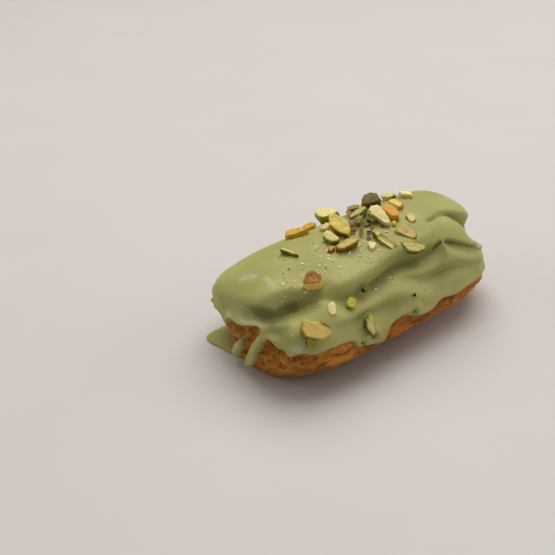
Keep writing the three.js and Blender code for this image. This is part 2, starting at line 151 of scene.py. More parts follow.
def kept(spot, name):
    """The values that painted() has kept at a mesh's corners under a name."""
    return spot.node("ShaderNodeAttribute", {"attribute_name": name}, out=2)


def millimetres(place, scale=(1, 1, 1)):
    """Object coordinates in millimetres, drawn out along an axis where scale is under 1."""
    size = [1000 * part for part in scale]
    return place.node("ShaderNodeMapping", {}, {"Vector": place, "Scale": size})


def mottle(place, size, detail=3, roughness=0.5, distortion=0.0):
    """Soft noise from 0 to 1, with patches of about size millimetres."""
    sockets = {"Vector": place, "Scale": 1 / size, "Detail": detail, "Roughness": roughness}
    return place.node("ShaderNodeTexNoise", {}, sockets | {"Distortion": distortion})


def between(tone, low, high, to_low=0.0, to_high=1.0):
    """The tone's range from low to high, drawn out smoothly to another range."""
    sockets = {"Value": tone, "From Min": low, "From Max": high, "To Min": to_low, "To Max": to_high}
    return tone.node("ShaderNodeMapRange", {"interpolation_type": "SMOOTHSTEP"}, sockets)


def blended(amount, first, second, how="MIX"):
    """The first colour where amount is 0 and the second where it is 1."""
    sockets = {0: amount, 6: first, 7: second}
    return amount.node("ShaderNodeMix", {"data_type": "RGBA", "blend_type": how}, sockets, out=2)


def bumpy(height, depth):
    """A surface direction from a height from 0 to 1 that is worth depth in millimetres."""
    return height.node("ShaderNodeBump", {}, {"Height": height, "Distance": depth * MM, "Strength": 1.0})


TABLE_SIZE = 8.0
TABLE_COLOUR = srgb(214, 208, 204)
TABLE_CLOUDED = srgb(209, 203, 198)

bpy.ops.mesh.primitive_plane_add(size=TABLE_SIZE)
table = bpy.context.object
table.name = "table"
table_finish, spot, table_shader = finish("pale_table", roughness=0.55, specular_ior_level=0.3)
feed(table_shader["Base Color"], blended(mottle(millimetres(spot), 60), TABLE_COLOUR, TABLE_CLOUDED))
table.data.materials.append(table_finish)

WINDOW = {"at": (0.3, 0.3, 1.1), "size": 1.2, "power": 12.9, "colour": (1.0, 0.985, 0.96)}
ROOM = {"at": (-0.85, 0.55, 0.5), "size": 0.8, "power": 1.9, "colour": (1.0, 0.97, 0.93)}
FAR_WALL = {"at": (0.75, -0.45, 0.32), "size": 0.8, "power": 2.1, "colour": (1.0, 0.95, 0.87)}
SKY = (0.93, 0.93, 0.95, 1.0)
SKY_STRENGTH = 0.25

for name, light in (("window", WINDOW), ("room", ROOM), ("far_wall", FAR_WALL)):
    lamp_data = bpy.data.lights.new(name, "AREA")
    lamp_data.size = light["size"]
    lamp_data.energy = light["power"]
    lamp_data.color = light["colour"]
    lamp = bpy.data.objects.new(name, lamp_data)
    lamp.location = light["at"]
    lamp.rotation_euler = (-Vector(light["at"])).to_track_quat("-Z", "Y").to_euler()
    bpy.context.scene.collection.objects.link(lamp)

world = bpy.data.worlds.new("pale_room")
world.use_nodes = True
world.node_tree.nodes["Background"].inputs["Color"].default_value = SKY
world.node_tree.nodes["Background"].inputs["Strength"].default_value = SKY_STRENGTH
bpy.context.scene.world = world
bpy.context.scene.view_settings.view_transform = "Standard"

# The choux bun was piped through a star nozzle, from its pinched left end to its right, and baked. It is
# golden brown, dry and pitted below the glaze, ridged along its length, and torn open at its left end.

MIDDLE = (0.7098, 0.0782, 0.0)  # from the source's axes to the middle of the base, where the row's frame is
LENGTH = 116.4
WIDTH = 62.8
HEIGHT = 43.8
LEFT_WIDER = 0.188
ENDS_WIDER = 0.101
RIGHT_TALLER = 0.1
ENDS_TALLER = 0.027
LEFT_SQUARE = 3.46
RIGHT_SQUARE = 3.55
CROWN_SQUARE = 2.33
BELLY_SQUARE = 1.45
BEND = 0.7
BELLY = (13.2, 20.2, 15.9)  # height of the widest line in the middle, at the left end and at the right end
FOOT_DEPTH = (1.25, 1.61, 1.49)
ENDS_LEAN = (0, -1.5, -6.5)

# Furrows and folds along the bun. At points in order from the left: place along it, degrees from the crown
# of the fold's bottom, depth, and its width in degrees towards the crown and away from it
FOLDS = (
    ((23, 23.5, 0, 2, 4), (27, 23.8, 0.9, 2, 4), (31, 22.6, 1, 2.2, 5), (34.5, 22.8, 1.5, 2.4, 6),
     (38, 26, 2.4, 2.6, 7), (41, 30, 3.8, 3, 10), (44, 34, 5.4, 3.5, 14), (48, 37, 6.2, 4, 17),
     (60, 39, 6.2, 4, 18)),
    ((-57, 40, 0, 8, 11), (-53, 38, 1.5, 8, 11), (-49, 34.5, 4.4, 7.5, 11), (-44.6, 33, 6.4, 6.5, 11),
     (-41, 33.5, 6, 5.2, 10), (-38, 33.5, 4.6, 4, 9), (-34, 33, 2.8, 3.6, 8), (-30, 32, 1, 4, 8),
     (-27, 32, 0, 4, 8)),
    ((-58, 6, 0, 12, 8), (-55, 11, -0.8, 12, 8), (-52, 15, -1.2, 10, 7), (-48, 17, -1.4, 10, 6),
     (-44.7, 19, -1.3, 9, 5), (-41.8, 22, -1.2, 8, 5), (-39, 25, -0.9, 7, 4), (-36, 28, 0, 7, 4)),
    ((-35, 39, 0, 4, 10), (-31, 42, 1.8, 4, 10), (-27, 45, 3, 4, 11), (-24, 46, 4, 4, 11),
     (-18, 46.5, 5.2, 3.8, 11), (-11, 45.5, 5.8, 3.8, 11), (-5, 43.5, 5.9, 3.8, 11), (1, 41.5, 5.9, 3.8, 11),
     (7, 41.5, 5.8, 3.6, 12), (12, 43, 5.4, 3.4, 12), (17, 45, 4.8, 3, 12), (21, 44.5, 3.9, 2.2, 11),
     (23.6, 43.4, 2.8, 1.6, 9), (25.6, 42.4, 0, 1.4, 8)),
    ((-36, 30, 0, 9, 4.5), (-26, 36, -1.4, 8, 4.5), (-14, 37, -1.8, 8, 4.5), (-4, 35, -1.6, 8, 4.5),
     (4, 32.5, -1.2, 6, 4.5), (14, 33.5, -1, 5, 4.5), (22, 34.5, -0.8, 5, 4), (28, 34, 0, 5, 4)),
    ((26.4, 43.4, 0, 1.3, 5), (28, 44.2, 1.9, 1.3, 6), (31, 46.8, 2.4, 1.4, 7), (35, 51.5, 2.4, 1.5, 7),
     (39.5, 56.6, 2.2, 1.6, 7), (44, 60.6, 1.8, 1.6, 7), (49, 66, 1.5, 1.6, 7), (56, 72, 1, 1.6, 7)),
    ((-38, 62, 0, 4, 8), (-31, 64, 1.6, 4, 8), (-25, 64.5, 2, 4, 8), (-20, 64, 2.6, 3.5, 8),
     (-13, 65, 2.8, 3.5, 9), (-6, 66, 2.4, 3.5, 9), (1, 68, 1, 4, 8), (6, 70, 0, 4, 8)),
    ((-46, 77, 0, 4, 7), (-40, 74.5, 0.9, 4, 7), (-34, 73, 1.4, 4, 7), (-28, 74, 1.1, 4, 7),
     (-22, 76, 0, 4, 7)),
    ((-2, 52.5, 0, 4, 8), (4, 56, 1.6, 4, 8), (9, 59, 2.6, 3.5, 9), (13, 62, 3.2, 3.2, 9),
     (18, 63, 3.5, 3, 9), (23, 62.5, 3.5, 3, 9), (28, 62.5, 2.7, 2.6, 9), (33, 65.5, 1.9, 2.6, 8),
     (39, 70, 1.3, 2.6, 7), (46, 75, 0.8, 3, 6), (56, 87, 0.4, 3, 6)),
    ((-60, -54, 0.8, 9, 10), (-44, -48, 1.3, 9, 10), (-20, -46, 2, 9, 10), (0, -46, 2.2, 9, 10),
     (24, -46.5, 2.4, 9, 10), (40, -51, 2.6, 9, 10), (56, -58, 2.6, 9, 10)),
    ((-60, -74, 0.8, 8, 9), (-44, -68, 1.2, 8, 9), (-20, -66, 1.5, 8, 9), (0, -66, 1.6, 8, 9),
     (24, -67, 1.7, 8, 9), (40, -74, 1.8, 8, 9), (56, -86, 1.8, 8, 9)),
)
STAR_SWELL = 1.4
GROOVE = (
    (-58, 12, 25, 0), (-58.2, 8.5, 26.2, 1.4), (-58.2, 3, 27, 2.4), (-58, 0, 27.4, 3.2), (-57.3, -3, 28, 4.2),
    (-55.6, -6.5, 28, 5.2), (-54.9, -9.7, 28.8, 6), (-53.2, -12, 30, 6.2), (-50.5, -12.9, 31.1, 5.4),
    (-47.5, -14, 32.6, 3.6), (-44.5, -16, 33.6, 1.4), (-41.5, -17.6, 34.4, 0),
)  # places and depths along the groove between the end's dome and its rolled lip
GROOVE_HALF = 3.4
WORN_ENDS = (
    ((52, -9.5, 32), 5.5, 3.2), ((45, -18, 36), 5, 1.6), ((49.5, -19.5, 31), 5, 1.6),
    ((53.5, -20.5, 16), 9, 2), ((-56, 24, 17.5), 6, 1.4), ((-56.5, 18, 26), 6.5, -1.2),
    ((-53.5, -18, 30.5), 5, 1.8), ((55, -8, 27), 6, 3), ((51, -20, 28.5), 4, 1.1),
    ((52.5, -15, 27.5), 4.5, 1.7),
)  # where both ends are flatter: middles, radii and depths

# Where the glaze ends: bearings seen from above, from the left end round the front, and heights
HEM = (
    (-180, 20.8), (-175, 22.2), (-170, 24.4), (-165, 26), (-161.6, 26.8), (-159.4, 25.8), (-162.4, 22.8),
    (-169.2, 15.6), (-174.4, 9.2), (-177, 5.4), (-177.4, 3.6), (-172, 3.2), (-167.4, 7.8), (-163.8, 12.8),
    (-160.4, 18.2), (-157.8, 22), (-155, 24.4), (-152, 24.2), (-150, 22.6), (-147, 21.8), (-145.2, 22.2),
    (-144, 20.2), (-142, 19), (-139.5, 20.8), (-136.5, 21.2), (-133, 19.9), (-129.6, 20.2), (-125, 20.6),
    (-119.4, 20.4), (-115.6, 19.4), (-115, 16.2), (-112.4, 15.4), (-108, 14.2), (-105.4, 13.2), (-103, 12.8),
    (-101, 13.6), (-100.2, 16), (-98.8, 18), (-95.8, 19), (-92, 19.2), (-89, 18.6), (-86.4, 16.6),
    (-83.6, 15.3), (-80, 14.8), (-76, 14.9), (-73.8, 16.6), (-71.6, 17.6), (-69.4, 17.3), (-66, 16.2),
    (-62, 16), (-57, 16.6), (-50.8, 16.2), (-46, 15.4), (-40, 14.4), (-28, 13.4), (-15, 11.6), (-4, 13),
    (10, 15), (24, 13.2), (34, 11.2), (44, 13.4), (58, 17), (68, 15.2), (79, 11.3), (86, 13.5), (94, 18),
    (102, 17.8), (109, 14), (113, 11.6), (117, 14), (123, 19), (127, 13), (129, 5), (129.5, -4), (141, -4),
    (141.5, 5), (143, 14), (147, 19), (152, 20), (157, 19.6), (161, 19.6), (163.4, 18.4), (165.2, 16.2),
    (167.4, 16.2), (169.4, 18.6), (171.4, 20.8), (176, 21),
)
# The stray drip beside it, whose bearings run on below -180, and its half widths
STRAY_DRIP = ((-178, 15.2), (-180.6, 11.6), (-183.8, 8.4), (-186.4, 5.6), (-186, 3.2))
STRAY_HALVES = (0.6, 1.8, 2.3, 2, 1)
# Burst bubbles in the sheet: bearings, heights and radii
BUBBLES = ((-107.4, 17.6, 1.1), (-112.2, 16.9, 0.6), (-86, 18.6, 0.8))


def smooth(value, low, high):
    part = np.clip((value - low) / (high - low), 0, 1)
    return part * part * (3 - 2 * part)


def rounded(part):
    """A quarter circle's rise from 0 to 1."""
    return np.sqrt(1 - (1 - np.clip(part, 0, 1)) ** 2)


def along_body(values, end, power):
    """A value that goes from its middle one to its left or right one towards the ends."""
    middle, left, right = values
    return middle + (np.where(end < 0, left, right) - middle) * np.abs(end) ** power


def on_ball(aims):
    """Places on a ball with squared corners, in the directions of aims from its middle."""
    ends = np.where(aims[:, 0] < 0, LEFT_SQUARE, RIGHT_SQUARE)
    section = np.where(aims[:, 2] > 0, CROWN_SQUARE, BELLY_SQUARE)
    across = (np.abs(aims[:, 1]) ** section + np.abs(aims[:, 2]) ** section) ** (ends / section)
    return aims * ((np.abs(aims[:, 0]) ** ends + across) ** (-1 / ends))[:, None]


def half_width(end):
    return WIDTH / 2 * (1 - LEFT_WIDER * end + ENDS_WIDER * end**2)


def stretched(ball):
    """The ball's places in millimetres."""
    end, side, rise = ball.T
    top = HEIGHT * (1 + RIGHT_TALLER * end + ENDS_TALLER * end**2)
    belly = along_body(BELLY, end, 3)
    reach = np.where(rise > 0, top - belly, belly * along_body(FOOT_DEPTH, end, 2))
    lean = along_body(ENDS_LEAN, end, 3) * np.maximum(0, rise)
    across = side * half_width(end) + BEND * end**2
    return np.stack([end * LENGTH / 2 + lean, across, belly + reach * rise], 1)


def body_point(aims):
    return stretched(on_ball(aims))


def body_normal(aims):
    """Outward directions of the body, each from four points close by."""
    spare = np.where((np.abs(aims[:, 0]) > np.abs(aims[:, 1]))[:, None], (0, 1, 0), (1, 0, 0))
    reach = 1e-3 * np.linalg.norm(aims, axis=1, keepdims=True)
    one = np.cross(aims, spare)
    one *= reach / np.linalg.norm(one, axis=1, keepdims=True)
    two = np.cross(aims, one)
    two *= reach / np.linalg.norm(two, axis=1, keepdims=True)
    ways = [body_point(aims + step) - body_point(aims - step) for step in (one, two)]
    out = np.cross(*ways)
    return out / np.linalg.norm(out, axis=1, keepdims=True)


def crown_angle(ball):
    """Degrees from the crown, positive towards the front."""
    return np.degrees(np.arctan2(-ball[:, 1], ball[:, 2]))


def bell(offset, half):
    """A smooth hump, 1 in its middle and about a third at half."""
    return np.exp(-((offset / half) ** 2))


def softened(points):
    """Points of a line, with its corners cut off three times."""
    line = np.asarray(points, float)
    for _ in range(3):
        cut = np.stack([0.75 * line[:-1] + 0.25 * line[1:], 0.25 * line[:-1] + 0.75 * line[1:]], 1)
        line = np.concatenate([line[:1], cut.reshape(-1, line.shape[1])[1:-1], line[-1:]])
    return line


def folded(ball):
    """Depth of the folds at the ball's places."""
    angle, along = crown_angle(ball), stretched(ball)[:, 0]
    depth = np.zeros(len(ball))
    for points in FOLDS:
        line = softened(points)
        place, deep, above, below = (np.interp(along, line[:, 0], column) for column in line.T[1:])
        offset = (angle - place) * np.sign(line[0, 1])
        depth += deep * bell(offset, np.where(offset < 0, above, below))
    return depth


def nearest(place, line):
    """Distance to a line's closest point and what the line has there after its three coordinates."""
    reach = np.full(len(place), 1e9)
    found = np.zeros(len(place))
    for spot in line:
        away = np.linalg.norm(place - spot[:3], axis=1)
        found = np.where(away < reach, spot[3], found)
        reach = np.minimum(away, reach)
    return reach, found


def grooved(place):
    """Depth of the groove above the lip."""
    away, deep = nearest(place, softened(GROOVE))
    return deep * bell(away, GROOVE_HALF)


def pressed(place, spots):
    """Depth of flat-bottomed hollows, each given by its middle, radius and depth."""
    away = [(np.linalg.norm(place - spot, axis=1) / radius, depth) for spot, radius, depth in spots]
    return sum(depth * np.exp(-(part**4)) for part, depth in away)


def furrows(ball):
    """The piped furrows' relief, which fades out in the middle of both ends."""
    right_part = np.clip((ball[:, 0] - 0.42) / 0.48, 0, 1) ** 1.5
    relief = (STAR_SWELL * right_part - folded(ball)) * smooth(np.hypot(ball[:, 1], ball[:, 2]), 0.12, 0.5)
    return relief - grooved(stretched(ball)) - pressed(stretched(ball), WORN_ENDS)


# The hem is measured in the plane of the body's girth unrolled: millimetres round it, and height
BEYOND = 10  # degrees that the bearings run on beyond one turn, at both ends
round_bearings = np.radians(np.arange(-180 - BEYOND, 181 + BEYOND))
round_aims = np.stack([np.cos(round_bearings), np.sin(round_bearings), 0.01 + 0 * round_bearings], 1)
round_steps = np.linalg.norm(np.diff(body_point(round_aims)[:, :2], axis=0), axis=1)
round_way = np.concatenate([[0], np.cumsum(round_steps)])
round_turns = np.unwrap(np.arctan2(on_ball(round_aims)[:, 1], on_ball(round_aims)[:, 0]))
round_turns += np.radians(-180) - round_turns[BEYOND]
girth = round_way[BEYOND + 360] - round_way[BEYOND]
HEM_BEYOND = 12  # points of the hem that run on beyond one girth, at both ends


def unrolled(bearing, height):
    """Places in the unrolled plane from bearings in degrees and heights."""
    return np.stack([np.interp(np.radians(bearing), round_turns, round_way), height], -1)


def hem_ring():
    """The hem's line in the unrolled plane, running on beyond one girth at both ends."""
    bearings, heights = np.array(HEM, float).T
    ring = unrolled(bearings, heights)
    before, after = ring[-HEM_BEYOND:] - (girth, 0), ring[:HEM_BEYOND] + (girth, 0)
    return softened(np.concatenate([before, ring, after]))


hem_line = hem_ring()
stray_line = softened(np.column_stack([unrolled(*np.array(STRAY_DRIP, float).T), STRAY_HALVES]))


AT_ONCE = 4000  # spots that are measured together, to spare memory


def from_line(spots, line, reach=9.0):
    """Distances from spots in the unrolled plane to a line, up to reach."""
    start, run = line[:-1], np.diff(line, axis=0)
    length = np.maximum((run**2).sum(1), 1e-9)
    nearest = np.full(len(spots), reach)
    for first in range(0, len(spots), AT_ONCE):
        some = spots[first : first + AT_ONCE, None]
        part = np.clip(((some - start) * run).sum(2) / length, 0, 1)
        off = some - (start + run * part[..., None])
        nearest[first : first + AT_ONCE] = np.minimum(reach, np.sqrt((off**2).sum(2)).min(1))
    return nearest


def above_line(spots, line):
    """True for spots that the line passes under an odd number of times."""
    crossings = np.zeros(len(spots), int)
    for (x0, z0), (x1, z1) in zip(line[:-1], line[1:]):
        if x0 == x1:
            continue
        within = (spots[:, 0] >= min(x0, x1)) & (spots[:, 0] < max(x0, x1))
        height = z0 + (z1 - z0) * (spots[:, 0] - x0) / (x1 - x0)
        crossings += within & (height < spots[:, 1])
    return crossings % 2 == 1


def laid_flat(place):
    """Places on the body as places in the unrolled plane."""
    end = place[:, 0] * 2 / LENGTH
    bearing = np.degrees(np.arctan2((place[:, 1] - BEND * end**2) / half_width(end), end))
    return unrolled(bearing, place[:, 2])


def inside_sheet(place):
    """How far inside the glaze's sheet places are, in millimetres, negative where the pastry is bare."""
    spots = laid_flat(place)
    sheet = from_line(spots, hem_line) * np.where(above_line(spots, hem_line), 1, -1)
    for way in (0, girth, -girth):
        for turn, height, half in stray_line:
            sheet = np.maximum(sheet, half - np.hypot(*(spots + (way, 0) - (turn, height)).T))
    for turn, height, radius in BUBBLES:
        centre = unrolled(turn, height)
        sheet = np.minimum(sheet, np.hypot(*(spots - centre).T) - radius)
    return sheet


def noisy(place, size, octaves=3, stretch=(1, 1, 1)):
    """Even noise from about -1 to 1, with lumps of about size millimetres."""
    scaled = place * np.array(stretch) / size
    return np.array([noise.fractal(spot, 0.8, 2.1, octaves) for spot in scaled])


def even(side):
    return np.tan(side * math.pi / 4)


def cell_box(name, cells):
    """A cube cut into even cells along each axis, still two millimetres wide."""
    bpy.ops.mesh.primitive_cube_add(size=2)
    box = bpy.context.object
    box.name = name
    box.data.name = name
    bpy.ops.object.mode_set(mode="EDIT")
    bpy.ops.mesh.select_mode(type="EDGE")
    for axis, count in enumerate(cells):
        cage = bmesh.from_edit_mesh(box.data)
        for edge in cage.edges:
            first, last = (corner.co[axis] for corner in edge.verts)
            edge.select_set(abs(first - last) > 1.9)  # it runs along this axis, uncut
        bmesh.update_edit_mesh(box.data)
        bpy.ops.mesh.subdivide(number_cuts=count - 1)
    bpy.ops.object.mode_set(mode="OBJECT")
    return box


def finer(box, chosen):
    """Halves the cells whose middles are chosen, given their aims."""
    bpy.ops.object.mode_set(mode="EDIT")
    bpy.ops.mesh.select_mode(type="FACE")
    cage = bmesh.from_edit_mesh(box.data)
    middles = np.array([face.calc_center_median() for face in cage.faces])
    for face, here in zip(cage.faces, chosen(aims_of(middles))):
        face.select_set(bool(here))
    bmesh.update_edit_mesh(box.data)
    bpy.ops.mesh.subdivide(number_cuts=1)
    bpy.ops.object.mode_set(mode="OBJECT")


def corners_of(mesh):
    places = np.empty(len(mesh.vertices) * 3)
    mesh.vertices.foreach_get("co", places)
    return places.reshape(-1, 3)


def set_corners(mesh, places):
    mesh.vertices.foreach_set("co", np.asarray(places, float).ravel())
    mesh.update()


def aims_of(corners):
    return np.stack([corners[:, 0], even(corners[:, 1]), even(corners[:, 2])], 1)


def placed(place):
    return (np.asarray(place) + MIDDLE) * MM


GLAZE = 2.4
HEM_BLEND = 3.0  # how far to either side of the hem the pastry's form is blended
THIN_GLAZE = 1.5
EDGE = 1.4  # how far in from the hem the glaze is rounded
TUCK = 1.2  # how deep the unused part of its surface lies under the crust

BARE_GROOVES = ((86, 1.1, 4), (106, 1.3, 5), (-87, 1.1, 4), (-108, 1.3, 5))
HOLLOWS = (
    ((-56, -2, 14), 8, 1.8), ((-54, -19, 18), 4.5, 1.2), ((-53, 14, 8), 5, 1.6),
    ((-55.2, -22.4, 21.6), 2.2, 1.8), ((-55.5, 15.5, 16.5), 8, 5), ((-57, 4, 20), 5, 1.4),
    ((-58, -3.4, 15.4), 1.6, 1.6), ((-58, -5.6, 12.2), 1.4, 1.8), ((-57.4, -1, 7), 1.6, 1.2),
    ((-57.6, -6.5, 18.6), 1.5, 1.2),
)
UNDER_LIP = 0.5
UNDER_LIP_TORN = 3.0
LIP_FOOT = (15, 22)  # heights between which the recess under the lip fades out, downwards
RIBS = 3.3  # how close together the torn end's ribs are, in radians for each millimetre
PORES = 420
SET_IN = 0.12  # how much smaller the bun is that the glaze is cut with, so that no gap shows
PITS = (((-56.4, -12.3, 9.6), 0.8, 1.1), ((-54.1, -16.7, 8), 0.7, 0.9), ((-52.5, -21.5, 12), 0.5, 0.6))


def crags(place):
    """The source's uneven baked surface, within about one millimetre."""
    x, y, z = place.T
    coarse = np.sin(0.62 * x + 0.9 * y) * np.sin(0.8 * z - 0.5 * x + 1)
    fine = np.sin(1.3 * y + 0.7 * z + 2) * np.sin(1.1 * x + 0.4)
    return 0.6 * coarse + 0.4 * fine


def bun_relief(ball, place, sheet):
    """Offsets of the pastry's form from the body, without its fine roughness."""
    torn = smooth(-ball[:, 0], 0.6, 0.95)
    angle = crown_angle(ball)
    bare = sum(-depth * bell(angle - spot, width) for spot, depth, width in BARE_GROOVES)
    bare = bare + crags(place) * (0.3 + 0.3 * torn) - pressed(place, HOLLOWS)
    low = 1 - smooth(place[:, 2], *LIP_FOOT)
    bare = bare - (UNDER_LIP + UNDER_LIP_TORN * torn * (1 - 0.8 * low)) * bell(sheet + 2.6, 2.4)
    coated = smooth(sheet, -HEM_BLEND, HEM_BLEND) * (1 - 0.9 * low * smooth(-ball[:, 0], 0.8, 0.93))
    return bare * (1 - coated) + (furrows(ball) - GLAZE) * coated


def pastry_relief(aims):
    """Offsets of the baked surface from the body: ribs where it was piped, wrinkles, pores and pits."""
    ball = on_ball(aims)
    place = stretched(ball)
    sheet = inside_sheet(place)
    torn = smooth(-ball[:, 0], 0.6, 0.95)
    near = sheet < 2 * HEM_BLEND
    rough = np.zeros(len(place))
    rough[near] = 0.3 * noisy(place[near], 5, 4, (0.35, 1, 1)) + 0.24 * noisy(place[near] + 40, 1.7, 3)
    ribs = np.cos(place[:, 1] * RIBS + 1.2 * np.sin(place[:, 2] * 0.5)) * smooth(place[:, 2], 12, 20)
    rough = rough * (1 + 0.5 * torn) + 0.5 * torn * ribs - pressed(place, PITS)
    draw = np.random.default_rng(5)
    wells = place[near][draw.choice(near.sum(), PORES, replace=False)]
    sizes = draw.uniform(0.3, 0.75, len(wells))
    rough = rough - pressed(place, zip(wells, sizes, 0.6 * sizes))
    return bun_relief(ball, place, sheet) + rough * (1 - smooth(sheet, -0.5, 1.5))


def bare_or_near(aims):
    """True for aims where the pastry is bare, just inside the glaze's hem or a little below the table."""
    place = body_point(aims)
    return (inside_sheet(place) < 3.4) & (place[:, 2] > -1.5)


def pastry_form(name, cells, shrink=0.0):
    """The bun's closed surface, fine where it is bare."""
    bun = cell_box(name, cells)
    for _ in range(2):
        finer(bun, bare_or_near)
    aims = aims_of(corners_of(bun.data))
    relief = pastry_relief(aims) - shrink
    set_corners(bun.data, placed(body_point(aims) + body_normal(aims) * relief[:, None]))
    return bun


def cut_at_table(piece):
    """Cuts off what lies below the table and closes the flat base."""
    bpy.ops.object.select_all(action="DESELECT")
    bpy.context.view_layer.objects.active = piece
    piece.select_set(True)
    bpy.ops.object.mode_set(mode="EDIT")
    bpy.ops.mesh.select_all(action="SELECT")
    bpy.ops.mesh.bisect(plane_co=(0, 0, 0), plane_no=(0, 0, 1), use_fill=True, clear_inner=True)
    bpy.ops.object.mode_set(mode="OBJECT")


BUN_CELLS = (52, 30, 22)

choux = pastry_form("choux", BUN_CELLS)
cut_at_table(choux)
choux.data.shade_smooth()

CRUST_ALONG = (
    (0.0, srgb(212, 139, 48)), (0.12, srgb(206, 131, 43)), (0.3, srgb(188, 109, 30)),
    (0.75, srgb(212, 124, 34)), (0.95, srgb(226, 137, 38)),
)  # ochre at the torn left end, darker and redder along the middle, and lighter towards the right end
CRUST_REACH = 58  # these colours run from here on the left to here on the right
CRUST_DARK = srgb(138, 83, 24)
CRUST_PAINTED_HIGHLIGHT = srgb(224, 176, 98)
# The colour of the painted shade in the crust's pores and wrinkle hollows
PORE_SHADE = srgb(88, 50, 16)

choux_finish, spot, choux_shader = finish("baked_choux", roughness=0.75, specular_ior_level=0.25)
fine_place = millimetres(spot)
long_place = millimetres(spot, (0.3, 1, 1))
baked = mottle(long_place, 7, 4, 0.55)
grainy = mottle(fine_place, 1.3, 3, 0.6)
along = fine_place.node("ShaderNodeSeparateXYZ", {}, {"Vector": fine_place}, out=0)
part = between(along, -CRUST_REACH, CRUST_REACH)
tinted = along.node("ShaderNodeValToRGB", {"stops": CRUST_ALONG}, {"Fac": part})
crust = blended(between(baked, 0.35, 0.7, 0.6, 0), tinted, CRUST_DARK)
# Painted highlight: pale tan on the raised tops of the fine grain
crust = blended(between(grainy, 0.42, 0.8) * 0.45, crust, CRUST_PAINTED_HIGHLIGHT)
feed(choux_shader["Roughness"], between(grainy, 0.3, 0.7, 0.62, 0.88))
wrinkled = mottle(long_place, 2.4, 4, 0.62, 0.6)
pores = fine_place.node("ShaderNodeTexVoronoi", {"feature": "SMOOTH_F1"}, {"Scale": 0.55, "Smoothness": 0.4})
pored = between(pores, 0.05, 0.35)
# Painted shade: the crust is darkened in the hollows of its wrinkles and in its pores, where the bump sinks
# in
crust = blended(between(wrinkled, 0.36, 0.54, 0.65, 0), crust, PORE_SHADE)
crust = blended(between(pored, 0, 1, 0.75, 0), crust, PORE_SHADE)
feed(choux_shader["Base Color"], crust)
relief = wrinkled + grainy * 0.8 + mottle(fine_place, 0.45, 2) * 0.6 + pored * 0.8
feed(choux_shader["Normal"], bumpy(relief, 0.9))
choux.data.materials.append(choux_finish)
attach(choux, "root")
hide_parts("choux_bun")

# The glaze was poured over the bun while it was warm. It drapes over the piped ridges, gathers in a soft
# bead along its lower edge, hangs in drips over the torn end and has run into a puddle behind it.

GLAZE_CELLS = (77, 42, 30)
DENTS = (
    (-112.6, 18.1, 1.9, 1.2, 1.0), (-109, 16.9, 1.9, 1.3, 1.1), (-106, 15.6, 1.6, 1.2, 0.9),
    (-87.4, 18.7, 2.2, 0.7, 0.9),
)  # bearing, height, half width, half height and depth
DENT_RIBS = 3.6  # how close together the ribs in the dents are, in radians for each millimetre
FOAM = (-139.8, 22.4, 3.2, 2.0)  # bearing, height, half width and half height of a patch of small bubbles
PAINTED_SHEEN = (
    (((-52, 9, 34.5, 0), (-50.5, 8, 35.3, 0.8), (-49, 7, 36, 1), (-47, 4, 37, 0.8), (-46, 2, 37.6, 0)), 1.5),
    (((-45, 2, 38, 0), (-45, -1, 38, 0.6), (-45, -4, 38, 0.8), (-46, -9, 37, 0.5), (-46, -11, 36, 0)), 1.2),
    (((-58, 4, 26, 0), (-58, 1, 25, 0.5), (-58, -3, 25, 0.8), (-57, -7, 26, 0.8), (-56, -11, 27.5, 0.4),
      (-55, -13, 28, 0)), 1.8),
    (((-54.6, 25, 22.4, 0.9), (-55.2, 23, 22, 0.9), (-56, 20, 21, 0.4)), 1.8),
    (((-58, 7, 23, 0.9), (-58, 6.5, 22, 0.9), (-58, 6, 21, 0.3)), 1.4),
    (((-52.5, -26.5, 21.6, 0.5), (-51, -27.5, 22.4, 0.9), (-49.5, -28.5, 23.2, 0.9),
      (-48, -29, 24, 0.5)), 2.0),
)  # painted sheen: whitish highlight streaks and patches, where the glaze is also a little glossier: places and strengths along each, and its half width


def glaze_relief(aims):
    """Offsets of the glaze from the body. It dips under the pastry where that is bare."""
    ball = on_ball(aims)
    place = stretched(ball)
    sheet = inside_sheet(place)
    pastry = bun_relief(ball, place, sheet)
    thickness = np.maximum(furrows(ball) - pastry, THIN_GLAZE)
    bead = 0.35 * bell(sheet - 1.4, 1.1) - 0.25 * bell(sheet - 4.2, 1.3)
    spots = laid_flat(place)
    for turn, height, wide, high, deep in DENTS:
        off = (spots - unrolled(turn, height)) / (wide, high)
        bead = bead - deep * (0.75 + 0.25 * np.cos(spots[:, 0] * DENT_RIBS)) * np.exp(-((off**2).sum(1) ** 2))
    turn, height, wide, high = FOAM
    off = (spots - unrolled(turn, height)) / (wide, high)
    foamy = (off**2).sum(1) < 4
    bead[foamy] += 0.3 * np.exp(-(off[foamy] ** 2).sum(1)) * noisy(place[foamy], 0.7, 2)
    return pastry + (thickness + bead) * rounded(sheet / EDGE) - np.clip(-sheet, 0, TUCK)


def worked(piece, kind, **settings):
    """A modifier with its settings, applied to the piece."""
    bpy.ops.object.select_all(action="DESELECT")
    bpy.context.view_layer.objects.active = piece
    modifier = piece.modifiers.new(kind.lower(), kind)
    for name, value in settings.items():
        setattr(modifier, name, value)
    bpy.ops.object.modifier_apply(modifier=modifier.name)


def carved(piece, tool, how):
    """One solid added to another or taken from it. The tool is used up."""
    worked(piece, "BOOLEAN", operation=how, solver="MANIFOLD", object=tool)
    bpy.data.objects.remove(tool)
    piece.data.materials.clear()


def painted(mesh, name, values):
    """Keeps values at a mesh's corners, for its finish to read."""
    mesh.attributes.new(name, "FLOAT", "POINT").data.foreach_set("value", np.asarray(values, np.float32))


